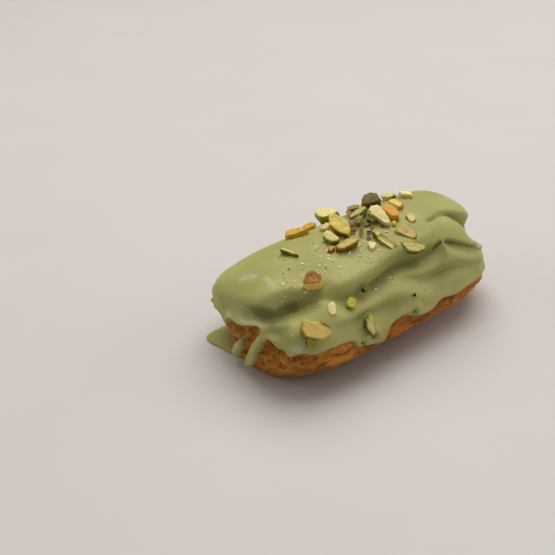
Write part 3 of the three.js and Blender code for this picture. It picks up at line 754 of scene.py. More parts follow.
def streaked(places, lines):
    """How strong streaks are at places, from their lines and half widths."""
    strong = np.zeros(len(places))
    for line, half in lines:
        away, strength = nearest(places, softened(line))
        strong = np.maximum(strong, strength * bell(away, half))
    return strong


def near_hem(aims, middle, half):
    """True for aims whose places lie near the hem, and above the table."""
    place = body_point(aims)
    return (np.abs(inside_sheet(place) - middle) < half) & (place[:, 2] > 0)


def right_folds(aims):
    """True for aims at the creased front of the right end."""
    end = aims[:, 0]
    return (end > 0.34) & (end < 0.96) & (np.abs(crown_angle(on_ball(aims)) - 45) < 30)


CREASES = (
    ((20.5, 44.6, 0), (22, 44, 0.8), (24, 43.2, 1), (25.4, 42.6, 0.9), (25.6, 42.5, 0)),
    ((26.6, 43.6, 0), (27, 43.8, 0.9), (29, 45, 1), (31, 46.8, 0.7), (35, 51.5, 0.6), (40, 57, 0.6),
     (44, 60.6, 0.7), (49, 66, 0.9), (54, 70, 0.9)),
    ((24, 23.5, 0), (26, 23.7, 1), (28, 23.4, 0.9), (30, 22.8, 0.6), (33, 22.4, 0.6), (36, 24, 0.7),
     (40, 29, 0.6), (44, 34, 0.4)),
    ((10, 62, 0), (15.6, 62.7, 0.3), (20.6, 63.4, 0.5), (26, 63.6, 0.55), (29.7, 65, 0.45), (34.7, 69, 0.4),
     (39, 73, 0.35), (44, 77, 0.2)),
)  # painted shade: dark lines along the bottoms of folds, under the lobes that overhang them: place along the bun, degrees from the crown and strength
CREASE_HALF = 1.1

glaze = cell_box("glaze", GLAZE_CELLS)
finer(glaze, lambda aims: np.ones(len(aims), bool))
finer(glaze, lambda aims: (aims[:, 0] < -0.7) & near_hem(aims, 0.5, 2.6))
finer(glaze, lambda aims: (aims[:, 0] < -0.8) & near_hem(aims, 0, 0.9))
finer(glaze, right_folds)
aims = aims_of(corners_of(glaze.data))
set_corners(glaze.data, placed(body_point(aims) + body_normal(aims) * glaze_relief(aims)[:, None]))
carved(glaze, pastry_form("bun_cutter", BUN_CELLS, SET_IN), "DIFFERENCE")

PUDDLE_AT = (-47.5, 19.0)
PUDDLE_TURN = 138
PUDDLE_SIZE = (26, 21.4, 2.3)
PUDDLE_TAPER = 0.4  # how much narrower its far end is
PUDDLE_FLAT = 0.6
PUDDLE_LOBES = 0.03

bpy.ops.mesh.primitive_uv_sphere_add(segments=96, ring_count=48, radius=1)
puddle = bpy.context.object
ball = corners_of(puddle.data)
ball[:, 1] *= 1 - PUDDLE_TAPER * np.maximum(0, ball[:, 0])
ball[:, :2] *= (1 + PUDDLE_LOBES * np.sin(5 * np.arctan2(ball[:, 1], ball[:, 0])))[:, None]
ball[:, 2] = np.sign(ball[:, 2]) * np.abs(ball[:, 2]) ** PUDDLE_FLAT
ball *= np.array(PUDDLE_SIZE) * (0.5, 0.5, 1)
turned = np.array(Matrix.Rotation(math.radians(PUDDLE_TURN), 3, "Z"))
set_corners(puddle.data, placed(ball @ turned.T + (*PUDDLE_AT, 0)))
carved(glaze, puddle, "UNION")
cut_at_table(glaze)
glaze.data.shade_smooth()

GREEN = srgb(175, 171, 102)
GREEN_DEEP = srgb(160, 157, 85)
GREEN_PALE = srgb(206, 202, 158)
GREEN_SHADED = srgb(94, 92, 36)
SHEEN_WHITE = srgb(214, 212, 186)
CREASE_SHADE_BROWN = srgb(104, 92, 52)
SHADES = (
    ((-55.8, 3, 27.8, 0), (-55.6, 0, 28.8, 0.45), (-55, -3.6, 29.8, 1), (-54.2, -7.6, 30.4, 1.2),
     (-53.2, -11, 30.2, 1.2), (-52, -14, 30, 1.1), (-50, -16, 31, 0.8), (-46, -15.4, 33, 0.5),
     (-40, -15, 34.4, 0)),
    ((-54, -22, 25, 0), (-52, -24, 25.5, 0.62), (-48, -26.5, 26, 0.72), (-44, -28, 26, 0.66),
     (-40, -28.5, 27, 0.5), (-36, -28, 29, 0)),
    ((-56.4, -12, 28, 0.3), (-55.6, -15.6, 27, 0.95), (-53.4, -18.8, 27.6, 1.05), (-51.4, -22, 28.5, 0.95),
     (-48, -23.6, 29.2, 0.5), (-44, -25, 30, 0)),
)  # places and strengths along the painted shade under the dome, which darkens the glaze's colour
SHADE_HALF = 4.6
SHADE_DEEP = 7  # how deep a fold the full painted shade counts for

places = corners_of(glaze.data) / MM - MIDDLE
end, side = places[:, 0] * 2 / LENGTH, places[:, 1]
top = HEIGHT * (1 + RIGHT_TALLER * end + ENDS_TALLER * end**2)
belly = along_body(BELLY, end, 3)
reach = np.where(places[:, 2] > belly, top - belly, belly * along_body(FOOT_DEPTH, end, 2))
ball = np.stack([end, (side - BEND * end**2) / half_width(end), (places[:, 2] - belly) / reach], 1)
shade = streaked(places, [(line, SHADE_HALF) for line in SHADES])
dark = np.zeros(len(places))
# Painted shade along the bottoms of the folds, where the lobes above overhang them
for points in CREASES:
    line = softened(points)
    turn, strength = (np.interp(stretched(ball)[:, 0], line[:, 0], column) for column in line.T[1:])
    dark = np.maximum(dark, strength * bell(crown_angle(ball) - turn, CREASE_HALF))
painted(glaze.data, "crease", dark)
painted(glaze.data, "haze", streaked(places, PAINTED_SHEEN))
# Painted shade: the depth of the folds and the painted shade under the dome, which the glaze's colour is
# darkened by
painted(glaze.data, "fold", folded(ball) + SHADE_DEEP * shade)

glaze_finish, spot, glaze_shader = finish(
    "pistachio_glaze", roughness=0.55, specular_ior_level=0.35, subsurface_weight=0.12, subsurface_scale=0.002
)
fine_place = millimetres(spot)
cloudy = mottle(fine_place, 22, 3, 0.5)
speckle = mottle(fine_place, 0.7, 2, 0.5)
green = blended(between(cloudy, 0.35, 0.65), GREEN_DEEP, GREEN)
green = blended(between(speckle, 0.62, 0.85) * 0.35, green, GREEN_PALE)
# Painted shade: the glaze is coloured towards GREEN_SHADED in deep folds and under the dome, where shade
# falls
deep = kept(spot, "fold")
green = blended(between(deep, 3.4, 8) * 0.82, green, GREEN_SHADED)
# Painted shade: thin dark lines in the fold bottoms
crease = kept(spot, "crease")
green = blended(between(crease + (speckle - 0.5) * 0.3, 0.15, 0.9) * 0.85, green, CREASE_SHADE_BROWN)
# Painted sheen: the glaze is coloured whitish along the sheen's streaks, and made a little glossier there
haze = kept(spot, "haze")
green = blended(haze * between(mottle(fine_place, 1.1, 4, 0.6), 0.3, 0.7, 0.2, 0.75), green, SHEEN_WHITE)
feed(glaze_shader["Base Color"], green)
feed(glaze_shader["Roughness"], between(mottle(fine_place, 9, 3), 0.3, 0.7, 0.5, 0.6) - haze * 0.12)
feed(glaze_shader["Normal"], bumpy(mottle(fine_place, 1.1, 3), 0.05))
glaze.data.materials.append(glaze_finish)
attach(glaze, "root")
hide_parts("pistachio_glaze")

# Pistachios, shelled, roasted and chopped by knife, were strewn on the glaze while it was still soft, so that
# each sits in it a little. A cut face shows yellow-green flesh, and what is left of the seed coat is darker.

FLAT = 2.0  # how far the seed coat is kept away from the rim where a kernel has none
WORN = 0.4  # what a kernel loses again when its edges are worn
CELL = 0.2  # the cells of a kernel's surface, and below it those of one no thicker than THIN
CELL_THIN = 0.15
THIN = 2.5


def coat_depth(local, outline, skin, thick):
    """How deep below the seed coat places are, in millimetres. It is on the sides that face within spread
    of an angle, and on the lower face where under is 1 or the upper one where it is -1."""
    facing, spread, under = skin
    rim = np.asarray(outline)
    depth = np.full(len(local), 3.0)
    for one, two in zip(rim, np.roll(rim, -1, 0)):
        out = np.array([two[1] - one[1], one[0] - two[0]])
        out = out / np.hypot(*out)
        turned = abs((math.degrees(math.atan2(out[1], out[0])) - facing + 180) % 360 - 180)
        bare = 0 if turned <= spread else FLAT * min(1, (turned - spread) / 40)
        depth = np.minimum(depth, (one - local[:, :2]) @ out + bare)
    if under:
        depth = np.minimum(depth, thick / 2 + under * local[:, 2])
    return np.clip(depth, 0, 3)


def nut_finish(name, flesh, rim, skin, gloss=0.42, glow=0.3):
    """A kernel's finish: its flesh, a greener or browner rim under the seed coat, and the coat."""
    glowing = {"subsurface_weight": glow, "subsurface_scale": MM, "subsurface_radius": (1.0, 0.8, 0.25)}
    material, spot, shader = finish(name, specular_ior_level=0.22, **glowing)
    fine = millimetres(spot)
    depth = kept(spot, "coat_depth")
    uneven = depth + (mottle(fine, 0.9, 3) - 0.5) * 0.7
    blotch = mottle(fine, 1.9, 3, 0.6)
    grain = mottle(fine, 0.35, 2)
    darker = (flesh[0] * 0.66, flesh[1] * 0.64, flesh[2] * 0.5, 1.0)
    inside = blended(between(blotch, 0.45, 0.75) * 0.4, flesh, darker)
    colour = blended(between(uneven, 0.3, 1.1), rim, inside)
    colour = blended(between(uneven, 0.05, 0.42), skin, colour)
    feed(shader["Base Color"], blended(between(grain, 0.55, 0.8) * 0.2, colour, flesh))
    feed(shader["Roughness"], between(blotch, 0.3, 0.7, gloss - 0.1, gloss + 0.1))
    feed(shader["Normal"], bumpy(grain * 0.4 + blotch, 0.08))
    return material


GOLDEN = nut_finish("golden_flesh", srgb(230, 210, 110), srgb(206, 158, 42), srgb(96, 62, 16))
CREAM_GREEN = nut_finish("cream_and_green_flesh", srgb(240, 224, 152), srgb(166, 168, 40), srgb(118, 130, 20))
AMBER = nut_finish("amber_flesh", srgb(220, 172, 50), srgb(198, 142, 30), srgb(164, 102, 24), 0.34)
ORANGE = nut_finish("roasted_flesh", srgb(216, 162, 56), srgb(192, 126, 32), srgb(150, 86, 24), 0.24)
PALE_GREEN = nut_finish("pale_green_flesh", srgb(226, 210, 136), srgb(168, 164, 50), srgb(86, 94, 14))
OLIVE = nut_finish("olive_rimmed_flesh", srgb(220, 196, 122), srgb(174, 146, 44), srgb(116, 88, 14))
DARK = nut_finish("dark_seed_coat", srgb(102, 90, 22), srgb(136, 108, 26), srgb(42, 34, 12), 0.26)
IVORY = nut_finish("ivory_flesh", srgb(246, 230, 164), srgb(238, 208, 122), srgb(214, 146, 36), 0.34)
GLASSY = nut_finish("glassy_green_flesh", srgb(184, 182, 98), srgb(132, 134, 48), srgb(64, 64, 18), 0.2, 0.5)
TAN = nut_finish("tan_flesh", srgb(228, 200, 116), srgb(204, 168, 66), srgb(112, 104, 32), 0.5)
LIME = nut_finish("lime_flesh", srgb(206, 194, 78), srgb(150, 150, 40), srgb(84, 92, 14))
PLUM = nut_finish("plum_seed_coat", srgb(158, 152, 62), srgb(138, 92, 74), srgb(104, 42, 58), 0.36)
CAPPED = nut_finish("brown_capped_flesh", srgb(238, 208, 112), srgb(212, 160, 56), srgb(152, 100, 20))


def lying(local, at, along, up):
    """Places from a kernel's own axes, along, across and up, turned and moved to where it lies."""
    above = Vector(up).normalized()
    ahead = Vector(along)
    ahead = (ahead - above * ahead.dot(above)).normalized()
    frame_of_three = np.array([ahead, above.cross(ahead), above])
    return np.asarray(at) + local @ frame_of_three


def kernel(
    name, material, at, along, up, thick, bevel, skin, outline, hollow=None, stands_for="pistachio_glaze"
):
    """A chopped kernel: its outline drawn up to a rim and a bevelled upper face, then worn and pitted."""
    outline = np.array(outline, float)
    outline *= 1 + WORN / np.linalg.norm(outline, axis=1, keepdims=True)
    thick, bevel = thick + WORN, 0.5 + 0.5 * bevel
    bpy.ops.mesh.primitive_circle_add(vertices=len(outline), fill_type="NGON")
    piece = bpy.context.object
    piece.name = name
    set_corners(piece.data, [(bevel * u, bevel * v, -thick / 2) for u, v in outline])
    bpy.ops.object.mode_set(mode="EDIT")
    bpy.ops.mesh.select_all(action="SELECT")
    for grown in (1 / bevel, bevel):
        bpy.ops.mesh.extrude_region_move(TRANSFORM_OT_translate={"value": (0, 0, thick / 2)})
        bpy.ops.transform.resize(value=(grown, grown, 1), center_override=(0, 0, 0))
    bpy.ops.mesh.select_all(action="SELECT")
    bpy.ops.mesh.normals_make_consistent(inside=False)
    bpy.ops.object.mode_set(mode="OBJECT")
    if hollow:
        radius, height, start, end = hollow
        middle = ((start + end) / 2, 0, height)
        bpy.ops.mesh.primitive_cylinder_add(
            radius=radius, depth=end - start, location=middle, rotation=(0, math.pi / 2, 0)
        )
        carved(piece, bpy.context.object, "DIFFERENCE")
    worked(piece, "REMESH", mode="VOXEL", voxel_size=CELL if thick > THIN else CELL_THIN)
    worked(piece, "SMOOTH", iterations=3)
    local = corners_of(piece.data)
    directions = np.array([corner.normal for corner in piece.data.vertices])
    drift = np.asarray(at) * 3.1
    wear = 0.24 * noisy(local + drift, 2.8, 2) + 0.05 * noisy(local + drift, 0.8, 2) - 0.06
    local = local + directions * wear[:, None]
    painted(piece.data, "coat_depth", coat_depth(local, outline, skin, thick))
    set_corners(piece.data, placed(lying(local, at, along, up)))
    piece.data.shade_smooth()
    piece.data.materials.clear()
    piece.data.materials.append(material)
    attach(piece, "root")
    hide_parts(stands_for)


KERNELS = (
    # name, finish, middle, along and up, thickness, bevel, seed coat, outline and what is hollowed out
    ("kernel_slab", GOLDEN, (-7.5, 2.2, 46.2), (0.15, -0.93, -0.34), (-0.37, -0.37, 0.85), 3.8, 0.84,
     (-43, 60, 1),
     ((-2.5, -2.9), (0.1, -2.8), (2.8, -2.3), (5.8, -1), (4.6, 1), (1.1, 2.9), (-5.8, 1.9), (-5.8, -0.6))),
    ("kernel_green", CREAM_GREEN, (-1.6, 18.9, 41.7), (0.69, -0.69, 0.21), (-0.29, 0, 0.96), 4.2, 0.8,
     (-84, 95, 1),
     ((5, -1.2), (5.1, -0.2), (3.4, 1.5), (-0.5, 3.1), (-3.1, 2.8), (-5.1, 0.9), (-2.7, -2.2), (-0.7, -3.1))),
    ("kernel_gold", AMBER, (-19.5, 15.2, 41.6), (0.84, -0.5, 0.23), (-0.27, -0.01, 0.96), 2.6, 0.8, (0, 0, 0),
     ((-3.6, -1.7), (-1.3, -1.8), (3.4, -1.1), (4.8, -0.6), (1.4, 1.5), (-1.5, 1.8), (-3.9, 1.6),
      (-4.7, -0.8))),
    ("kernel_cream", PALE_GREEN, (-13.9, -0.6, 44.3), (0.4, -0.9, -0.15), (-0.27, -0.27, 0.92), 2.9, 0.8,
     (-60, 80, 1),
     ((-1.5, -1.9), (1.1, -2.1), (3.2, -0.9), (3.4, 0.6), (-1.5, 2.1), (-3.1, 2), (-3.4, 0.5), (-2.8, -1.2))),
    ("kernel_oval", OLIVE, (-12.2, -8.1, 44.1), (0.95, -0.24, 0.2), (-0.28, -0.37, 0.89), 3.3, 0.84,
     (0, 180, 0),
     ((-3.4, -1.3), (-1.4, -1.8), (3.7, -1.2), (4.4, -0.4), (3.9, 1.1), (2, 1.8), (-3.3, 1.1), (-4.4, 0.3))),
    ("kernel_dark", DARK, (15.1, 11.1, 46.1), (0.85, -0.45, 0.29), (-0.35, -0.06, 0.94), 4.6, 0.76,
     (0, 180, 0),
     ((-3.2, -2.1), (0.5, -3.2), (2.6, -3), (3.7, -1.3), (3.4, 1.6), (1, 3.1), (-2.2, 2.6), (-3.7, 0.2))),
    ("kernel_blade", IVORY, (9.4, -1.9, 47), (0.13, -0.93, -0.35), (-0.36, -0.38, 0.85), 3.4, 0.8,
     (-2, 40, 0),
     ((-2.4, -2.4), (5.3, -1.3), (5.4, 0), (3.5, 1.2), (-2.1, 2.4), (-4.1, 1.9), (-5.4, 0), (-5.2, -1.7))),
    ("kernel_amber", ORANGE, (15, -1.8, 46.5), (0.12, -0.98, -0.17), (-0.22, -0.19, 0.96), 3.4, 0.8,
     (0, 0, 0),
     ((4.6, -0.4), (3.4, 1), (1.1, 1.9), (-2, 2.2), (-4, 1.2), (-4.6, -1.1), (-2.8, -1.7), (2.5, -2.2))),
    ("kernel_glassy", GLASSY, (4.9, 6.6, 45.5), (0.97, -0.05, 0.24), (-0.24, -0.07, 0.97), 3, 0.75,
     (0, 180, 0),
     ((-4.4, -1.2), (0.3, -1.5), (3.3, -1.1), (4.6, 0), (4.2, 1), (1.4, 1.5), (-1.5, 1.4), (-3.9, 0.6))),
    ("kernel_stick", PALE_GREEN, (2.2, -12.6, 43.1), (0.28, -0.91, -0.32), (-0.15, -0.37, 0.92), 2.7, 0.8,
     (180, 180, 1),
     ((2.6, 1.8), (-3.4, 1.7), (-5.3, 0.1), (-3, -0.8), (-0.1, -1.5), (4.8, -1.7), (5.3, 1), (5, 1.6)),
     (1.25, 1.7, -2.5, 8)),
    ("kernel_pale", OLIVE, (13.8, -13, 43.1), (0.52, -0.8, -0.3), (-0.3, -0.5, 0.81), 3.1, 0.86, (60, 90, 0),
     ((-3.5, -2.3), (3.1, -2.1), (4.3, -1.2), (3.9, 0.2), (1.7, 1.5), (-1.1, 2.3), (-2.5, 2.1),
      (-4.3, -1.7))),
    ("kernel_rim", PALE_GREEN, (11.3, -19.5, 39.7), (0.82, -0.53, -0.22), (-0.19, -0.61, 0.77), 2.9, 0.86,
     (0, 180, 0),
     ((4.1, -0.5), (4.9, 1.3), (3.1, 1.8), (-2.7, 2), (-4.9, 1.5), (-4.6, 0.1), (-1.6, -2), (1.5, -1.8))),
    ("kernel_cube", CAPPED, (-34.3, -16, 40.5), (-0.5, -0.76, -0.42), (-0.23, -0.35, 0.91), 5, 0.86,
     (170, 60, -1),
     ((-1.1, 2.8), (-2.2, 1.3), (-2.7, -0.8), (-2.4, -1.6), (1.8, -3.4), (2.7, -2), (2.2, 3), (0.1, 3.4))),
    ("kernel_tan", TAN, (-42.7, -29.4, 29.3), (0.91, -0.39, -0.17), (-0.2, -0.75, 0.63), 4, 0.86,
     (180, 42, 0),
     ((5.4, -0.8), (4.6, 0.8), (3.2, 2.1), (0.7, 2.5), (-2.3, 2.5), (-3.5, 3.3), (-4.7, 3.2), (-5.2, 1.6),
      (-5.4, -0.4), (-4.1, -2.2), (-1.1, -2.7), (1.8, -3.2), (4, -2.2))),
)

for name, material, *form in KERNELS:
    kernel(name, material, *form, stands_for=name.replace("kernel", "nut"))

# Smaller chips of the same kernels and curls of their seed coats, cut loose by the knife. They lie round the
# kernels and further out on the glaze, and a few have rolled down to its hem.

CHIPS = (
    ("chip_upright", PALE_GREEN, (-20.3, -32.6, 24), (-0.16, -0.38, -0.91), (-0.11, -0.91, 0.4), 2.8, 0.8,
     (0, 180, 1),
     ((0.8, -1.7), (4.2, 0.4), (2.9, 1.7), (-3.1, 1.6), (-4.2, 0.6), (-2.2, -1.8))),
    ("chip_box", IVORY, (-32.8, -25.4, 32.4), (-0.33, -0.71, -0.63), (-0.08, -0.64, 0.76), 2.6, 0.85,
     (0, 0, 0),
     ((-0.8, 1.3), (-2.3, 0.7), (-1.4, -1.2), (1.4, -1.3), (2.6, -0.5), (2, 1.1))),
    ("chip_flat", LIME, (-23.9, -26.1, 31.9), (-0.45, -0.6, -0.66), (-0.05, -0.73, 0.69), 1.4, 0.85,
     (0, 0, 0),
     ((1.6, -1), (1.9, 0.5), (0.5, 1.5), (-1.3, 1), (-1.9, -0.5), (0.4, -1.5))),
    ("chip_sliver", PALE_GREEN, (-30.7, 3.9, 41.6), (0.39, -0.92, -0.04), (-0.24, -0.14, 0.96), 2.2, 0.8,
     (-59, 120, 1),
     ((-3.3, -0.7), (2, -0.6), (4.1, -0.2), (1.5, 0.5), (-3.4, 0.6), (-4.1, 0))),
    ("chip_curl", LIME, (-45.8, -30, 25.7), (0.69, -0.52, -0.51), (-0.3, -0.84, 0.44), 3, 0.85, (0, 180, 1),
     ((-1.9, 0.8), (-0.9, -1.2), (0.5, -1.4), (2, 0), (1.7, 1), (0, 1.4)),
     (0.9, 1.2, -1, 4)),
    ("chip_far_pale", PALE_GREEN, (24.8, 11.8, 44.9), (0.63, -0.75, 0.18), (-0.32, -0.03, 0.95), 2.2, 0.8,
     (-6, 60, 0),
     ((-2.2, -0.9), (1.8, -1.3), (3, -0.6), (2.5, 0.8), (-1.8, 1.3), (-3, 0.3))),
    ("chip_far_yellow", IVORY, (30.1, 7, 46.2), (0.47, -0.88, 0.02), (-0.22, -0.1, 0.97), 2.2, 0.8, (0, 0, 0),
     ((-1.5, 1.1), (-2.9, 0.2), (-1, -1.1), (2.9, -0.7), (2.7, 0.3), (0.8, 1.2))),
    ("chip_back_pale", GOLDEN, (21.3, 2.7, 46.5), (0.29, -0.95, -0.08), (-0.21, -0.14, 0.97), 2.4, 0.8,
     (30, 60, 0),
     ((-3.5, -0.4), (-2, -1.4), (2.6, -1.7), (3.5, -0.5), (2.3, 0.9), (-1.2, 1.7))),
    ("chip_knob", PALE_GREEN, (20.4, -7.4, 43.6), (-0.1, -0.94, -0.34), (-0.19, -0.31, 0.93), 3.6, 0.8,
     (-32, 80, 0),
     ((1.1, -1.5), (2.4, -0.5), (1.7, 1.3), (-0.6, 1.6), (-2.3, 0.9), (-1.4, -1.3))),
    ("chip_amber_bit", ORANGE, (-12, 16.9, 41.1), (0.88, -0.41, 0.25), (-0.28, -0.01, 0.96), 1.6, 0.8,
     (0, 0, 0),
     ((-1.3, -1.6), (1.7, -1.1), (2.5, 0.1), (1, 1.3), (-1.2, 1.6), (-2.5, 0.5))),
    ("chip_plum_skin", PLUM, (10.4, 16.7, 42), (0.8, -0.53, 0.27), (-0.29, 0.05, 0.96), 1.6, 0.8,
     (-26, 120, 1),
     ((-2.7, -1.2), (1.5, -1.4), (3, -0.6), (2.4, 0.6), (-0.3, 1.4), (-2.3, 1.3))),
    ("chip_wedge", PALE_GREEN, (-9.7, 9.1, 43.3), (0.94, -0.26, 0.23), (-0.27, -0.14, 0.95), 1.6, 0.8,
     (0, 0, 0),
     ((0.9, 1.4), (-2.1, 0.9), (-1.5, -0.5), (-0.1, -1.4), (1.2, -0.9), (2.1, 1.1))),
    ("chip_dark_foot", GOLDEN, (12.2, 13.3, 44), (0.85, 0.42, 0.31), (-0.33, -0.02, 0.94), 1.6, 0.8,
     (0, 0, 0),
     ((-2.2, -0.6), (-0.5, -0.6), (2.7, -0.2), (1.1, 0.6), (-1.6, 0.6), (-2.7, -0.1))),
    ("chip_brown_bit", ORANGE, (-17.7, -5.5, 42.9), (0.97, -0.13, 0.19), (-0.22, -0.26, 0.94), 1.6, 0.8,
     (0, 180, 0),
     ((0, 1), (-1.4, 0), (-0.4, -1), (1.2, -0.4), (1.4, 0.7))),
    ("chip_ring", DARK, (-15.8, -23.7, 33.6), (0.72, 0.51, 0.46), (0.01, -0.68, 0.74), 1.8, 0.8, (0, 180, 0),
     ((1.1, 0), (-0.4, 0.8), (-1, 0.2), (-1.1, -0.8), (0.8, -0.8))),
    ("chip_crumb_pair", IVORY, (-3.4, -12.6, 42.7), (0.99, 0.04, 0.15), (-0.12, -0.34, 0.93), 1.8, 0.8,
     (0, 0, 0),
     ((-1.8, -0.7), (-1, -1.6), (0.9, -0.7), (1.8, 0), (-0.4, 1.6))),
)

for name, material, *form in CHIPS:
    kernel(name, material, *form)

# Papery flakes of seed coat and small crumbs of kernel lie between the nuts, with fine white dust of crushed
# nut over them. They came off under the knife, fell with the kernels and stick to the glaze.

glaze_tree = BVHTree.FromObject(glaze, bpy.context.evaluated_depsgraph_get())
SKY_HIGH = 0.2  # metres, above all of the eclair


def lying_at(x, y):
    """Where a crumb dropped at x and y comes to lie on the glaze, and which way is up there."""
    above = Vector(((x + MIDDLE[0]) * MM, (y + MIDDLE[1]) * MM, SKY_HIGH))
    spot, up, _, _ = glaze_tree.ray_cast(above, Vector((0, 0, -1)))
    return np.array(spot) / MM - MIDDLE, up


def scattered(name, model, shape, material, lies, tints):
    """Copies of one model, each with its own shape, size and turn, joined into one piece."""
    corners = corners_of(model.data)
    faces = [list(face.vertices) for face in model.data.polygons]
    places, rings, shades = [], [], []
    for number, ((spot, up, turn, size), tint) in enumerate(zip(lies, tints)):
        base = up.to_track_quat("Z", "Y").to_matrix() @ Matrix.Rotation(turn, 3, "Z")
        rings += [[corner + len(places) * len(corners) for corner in face] for face in faces]
        places.append(spot + (shape(corners, number) * size) @ np.array(base).T)
        shades += [tint] * len(corners)
    bpy.data.objects.remove(model)
    mesh = bpy.data.meshes.new(name)
    mesh.from_pydata(placed(np.concatenate(places)).tolist(), [], rings)
    painted(mesh, "tint", shades)
    mesh.materials.append(material)
    mesh.polygons.foreach_set("use_smooth", [len(faces) > 60] * len(mesh.polygons))
    piece = bpy.data.objects.new(name, mesh)
    bpy.context.scene.collection.objects.link(piece)
    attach(piece, "root")


DARK_SCRAP = (0.45, 0.42, 0.34, 1.0)


def scrap_finish(name, stops, gloss):
    """The finish of small scraps, their colours chosen by each one's tint."""
    material, spot, shader = finish(name, specular_ior_level=0.3)
    tint = kept(spot, "tint")
    patch = mottle(millimetres(spot), 0.8, 3)
    steps = [(place, srgb(*colour)) for place, colour in stops]
    colours = tint.node("ShaderNodeValToRGB", {"stops": steps}, {"Fac": tint + (patch - 0.5) * 0.16})
    feed(shader["Base Color"], blended(between(patch, 0.4, 0.75) * 0.35, colours, DARK_SCRAP, "MULTIPLY"))
    feed(shader["Roughness"], between(patch, 0.3, 0.7, gloss - 0.1, gloss + 0.1))
    feed(shader["Normal"], bumpy(patch, 0.1))
    return material


FLAKES = (
    # x, y, height over the glaze, turn, lean, size along, size across, curl and tint
    (0.1, 3.1, 1.8, 20, 25, 2.3, 1.3, 0.5, 0.74),
    (2.6, 2.0, 2.6, -30, 30, 2.9, 2.3, 0.4, 0.35),
    (6.6, 0.6, 2.2, -20, 20, 3.3, 1.6, 0.6, 0.15),
    (-1.9, 0.1, 1.2, 50, 40, 1.5, 0.9, 0.5, 0.8),
    (-1.9, -4.6, 2.0, -80, 70, 2.3, 1.7, 0.4, 0.42),
    (0.8, -5.7, 0.7, 10, 30, 1.1, 0.7, 0.3, 0.95),
    (3.7, -3.8, 0.5, 70, 20, 0.8, 0.5, 0.3, 0.9),
    (7.5, -5.4, 0.4, 0, 20, 0.8, 0.5, 0.3, 0.95),
    (4.6, 12.5, 1.6, 60, 30, 3.2, 0.9, 0.2, 0.7),
    (-1.4, -8.2, 0.5, 30, 30, 0.9, 0.8, 0.3, 0.1),
    (4.0, -0.6, 1.2, 100, 30, 1.8, 1.0, 0.5, 0.55),
    (-4.2, -1.4, 0.8, 15, 35, 1.3, 0.9, 0.4, 0.85),
)

COAT_THICK = 0.14
FLAKE_TINTS = (
    (0.0, (92, 108, 34)), (0.3, (136, 134, 62)), (0.5, (166, 142, 84)), (0.75, (168, 122, 78)),
    (0.95, (116, 62, 60)),
)  # colours from a tint of 0 to one of 1

bpy.ops.mesh.primitive_grid_add(x_subdivisions=12, y_subdivisions=9, size=2)
leaf = bpy.context.object
worked(leaf, "SOLIDIFY", thickness=COAT_THICK)


def torn_leaf(corners, number):
    """A flake's own form: ragged, narrower at its tips, curled and leaning."""
    lean, length, width, curl = FLAKES[number][4:8]
    u, v, w = corners.T
    ragged = 1 + 0.35 * noisy(np.stack([u, v, 0 * u + 9 * number], 1), 0.8, 2)
    narrow = np.sqrt(1 - 0.75 * np.abs(u) ** 2.5)
    risen = w * 1.2 + curl * (v * v * width - 0.4 * u * u)
    bent = np.stack([u * length * ragged, v * width * narrow * ragged, risen], 1)
    return bent @ np.array(Matrix.Rotation(math.radians(lean), 3, "X")).T


lies = []
for x, y, lift, turn, *_ in FLAKES:
    spot, up = lying_at(x, y)
    lies.append((spot + (0, 0, lift), up, math.radians(turn), 1.0))
coat_finish = scrap_finish("seed_coat", FLAKE_TINTS, 0.5)
scattered("seed_coat_flakes", leaf, torn_leaf, coat_finish, lies, [flake[8] for flake in FLAKES])

CRUMBS = (
    # x, y, size and tint
    (-14.1, 11.8, 1.1, 0.3), (-3.5, 17, 1.2, 0.3), (-19.3, 3.9, 0.9, 0.35), (-21.5, -0.9, 1.1, 0.2),
    (-5.4, -6.3, 1.3, 0.6), (-1.4, -8.2, 0.8, 0.85), (7.2, -8.9, 0.9, 0.1), (-9, -12.6, 0.8, 0.5),
    (-20.7, -10.6, 1.1, 0.12), (-13.2, -12.1, 0.7, 0.3), (-27.8, -4.2, 0.8, 0.5), (12.3, -6.8, 3.2, 0.45),
    (20.9, -2.2, 1, 0.3), (-34.3, 5.9, 1.1, 0.6), (-33.6, 2.8, 1, 0.35), (-36.1, -3.2, 0.9, 0.92),
    (-32.3, -6.9, 0.9, 0.3), (-40.9, -9.1, 1.1, 0.15), (-25.2, -12.1, 1, 0.55), (-20.4, -0.5, 0.9, 0.3),
    (-17, -4.6, 1.2, 0.92), (1.6, 12.9, 1.1, 0.2), (5, -2.4, 1.2, 0.3), (-8.6, -3.2, 1.2, 0.4),
    (-11.2, 3.6, 1.1, 0.35), (4.8, -28.8, 1.7, 1.15), (-1, -22.5, 0.5, 1.1), (11, -27.6, 0.5, 1.0),
    (-2.3, -25.4, 0.4, 1.0), (10, -25, 0.4, 1.0), (-5, -21, 0.4, 1.0), (9, -18.6, 0.4, 1.0),
)
CRUMBS_MORE = 60
CLUSTER = (
    (-4, -4, 8, 4), (-17, -13, 8, 4), (-14, 0, 6, 4), (-28, -8, 7, 5), (-38, -14, 5, 5), (-8, -18, 5, 3),
    (19, 3, 5, 3),
)  # x, y and reach of the drifts
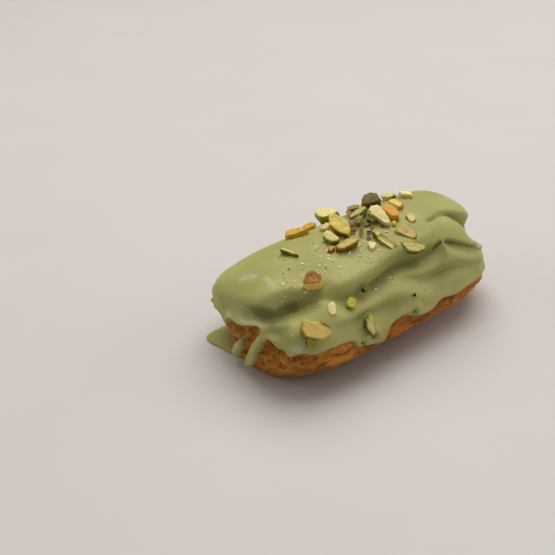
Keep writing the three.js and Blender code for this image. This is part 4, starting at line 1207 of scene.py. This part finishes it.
CRUMB_TINTS = (
    (0.0, (236, 222, 172)), (0.3, (226, 206, 120)), (0.6, (196, 184, 62)), (0.8, (132, 140, 40)),
    (0.92, (150, 88, 44)), (1.0, (44, 36, 22)),
)
DUST = 330
DUST_TINTS = ((0.0, (252, 250, 240)), (1.0, (242, 234, 200)))
SUNK = 0.3  # how far a crumb's middle is above the glaze, for its size
TURNED = 2.4  # how far each crumb is turned on from the last one, in radians


def drifted(draw, count):
    """Seeded places in the drifts."""
    chosen = draw.integers(0, len(CLUSTER), count)
    middles = np.array(CLUSTER)[chosen]
    return middles[:, :2] + draw.normal(size=(count, 2)) * middles[:, 2:]


def strewn(places, sizes):
    """How each of them lies on the glaze: where, which way is up, its turn and its size."""
    lies = []
    for number, ((x, y), size) in enumerate(zip(places, sizes)):
        spot, up = lying_at(x, y)
        lies.append((spot + SUNK * size * np.array(up), up, TURNED * number, size))
    return lies


def pebble(corners, number):
    """A lumpy, sharp-edged crumb."""
    wear = 1 + 0.5 * noisy(corners + 7.3 * number, 1.1, 2)
    return corners * wear[:, None] * (1, 0.75 + 0.2 * math.sin(number), 0.6)


draw = np.random.default_rng(11)
crumb_places = np.concatenate([[crumb[:2] for crumb in CRUMBS], drifted(draw, CRUMBS_MORE)])
crumb_sizes = [crumb[2] / 2 for crumb in CRUMBS] + list(draw.uniform(0.16, 0.42, CRUMBS_MORE))
crumb_tints = [crumb[3] for crumb in CRUMBS] + list(draw.uniform(0, 0.9, CRUMBS_MORE))
bpy.ops.mesh.primitive_ico_sphere_add(subdivisions=2, radius=1)
crumb = bpy.context.object
crumb_finish = scrap_finish("crumb_flesh", CRUMB_TINTS, 0.5)
scattered("kernel_crumbs", crumb, pebble, crumb_finish, strewn(crumb_places, crumb_sizes), crumb_tints)

dust_places = drifted(draw, DUST)
dust_sizes = 0.13 + 0.5 * draw.uniform(0, 1, DUST) ** 3
bpy.ops.mesh.primitive_ico_sphere_add(subdivisions=1, radius=1)
grain = bpy.context.object
dust_finish = scrap_finish("white_dust", DUST_TINTS, 0.6)
scattered("nut_dust", grain, pebble, dust_finish, strewn(dust_places, dust_sizes), draw.uniform(0, 1, DUST))
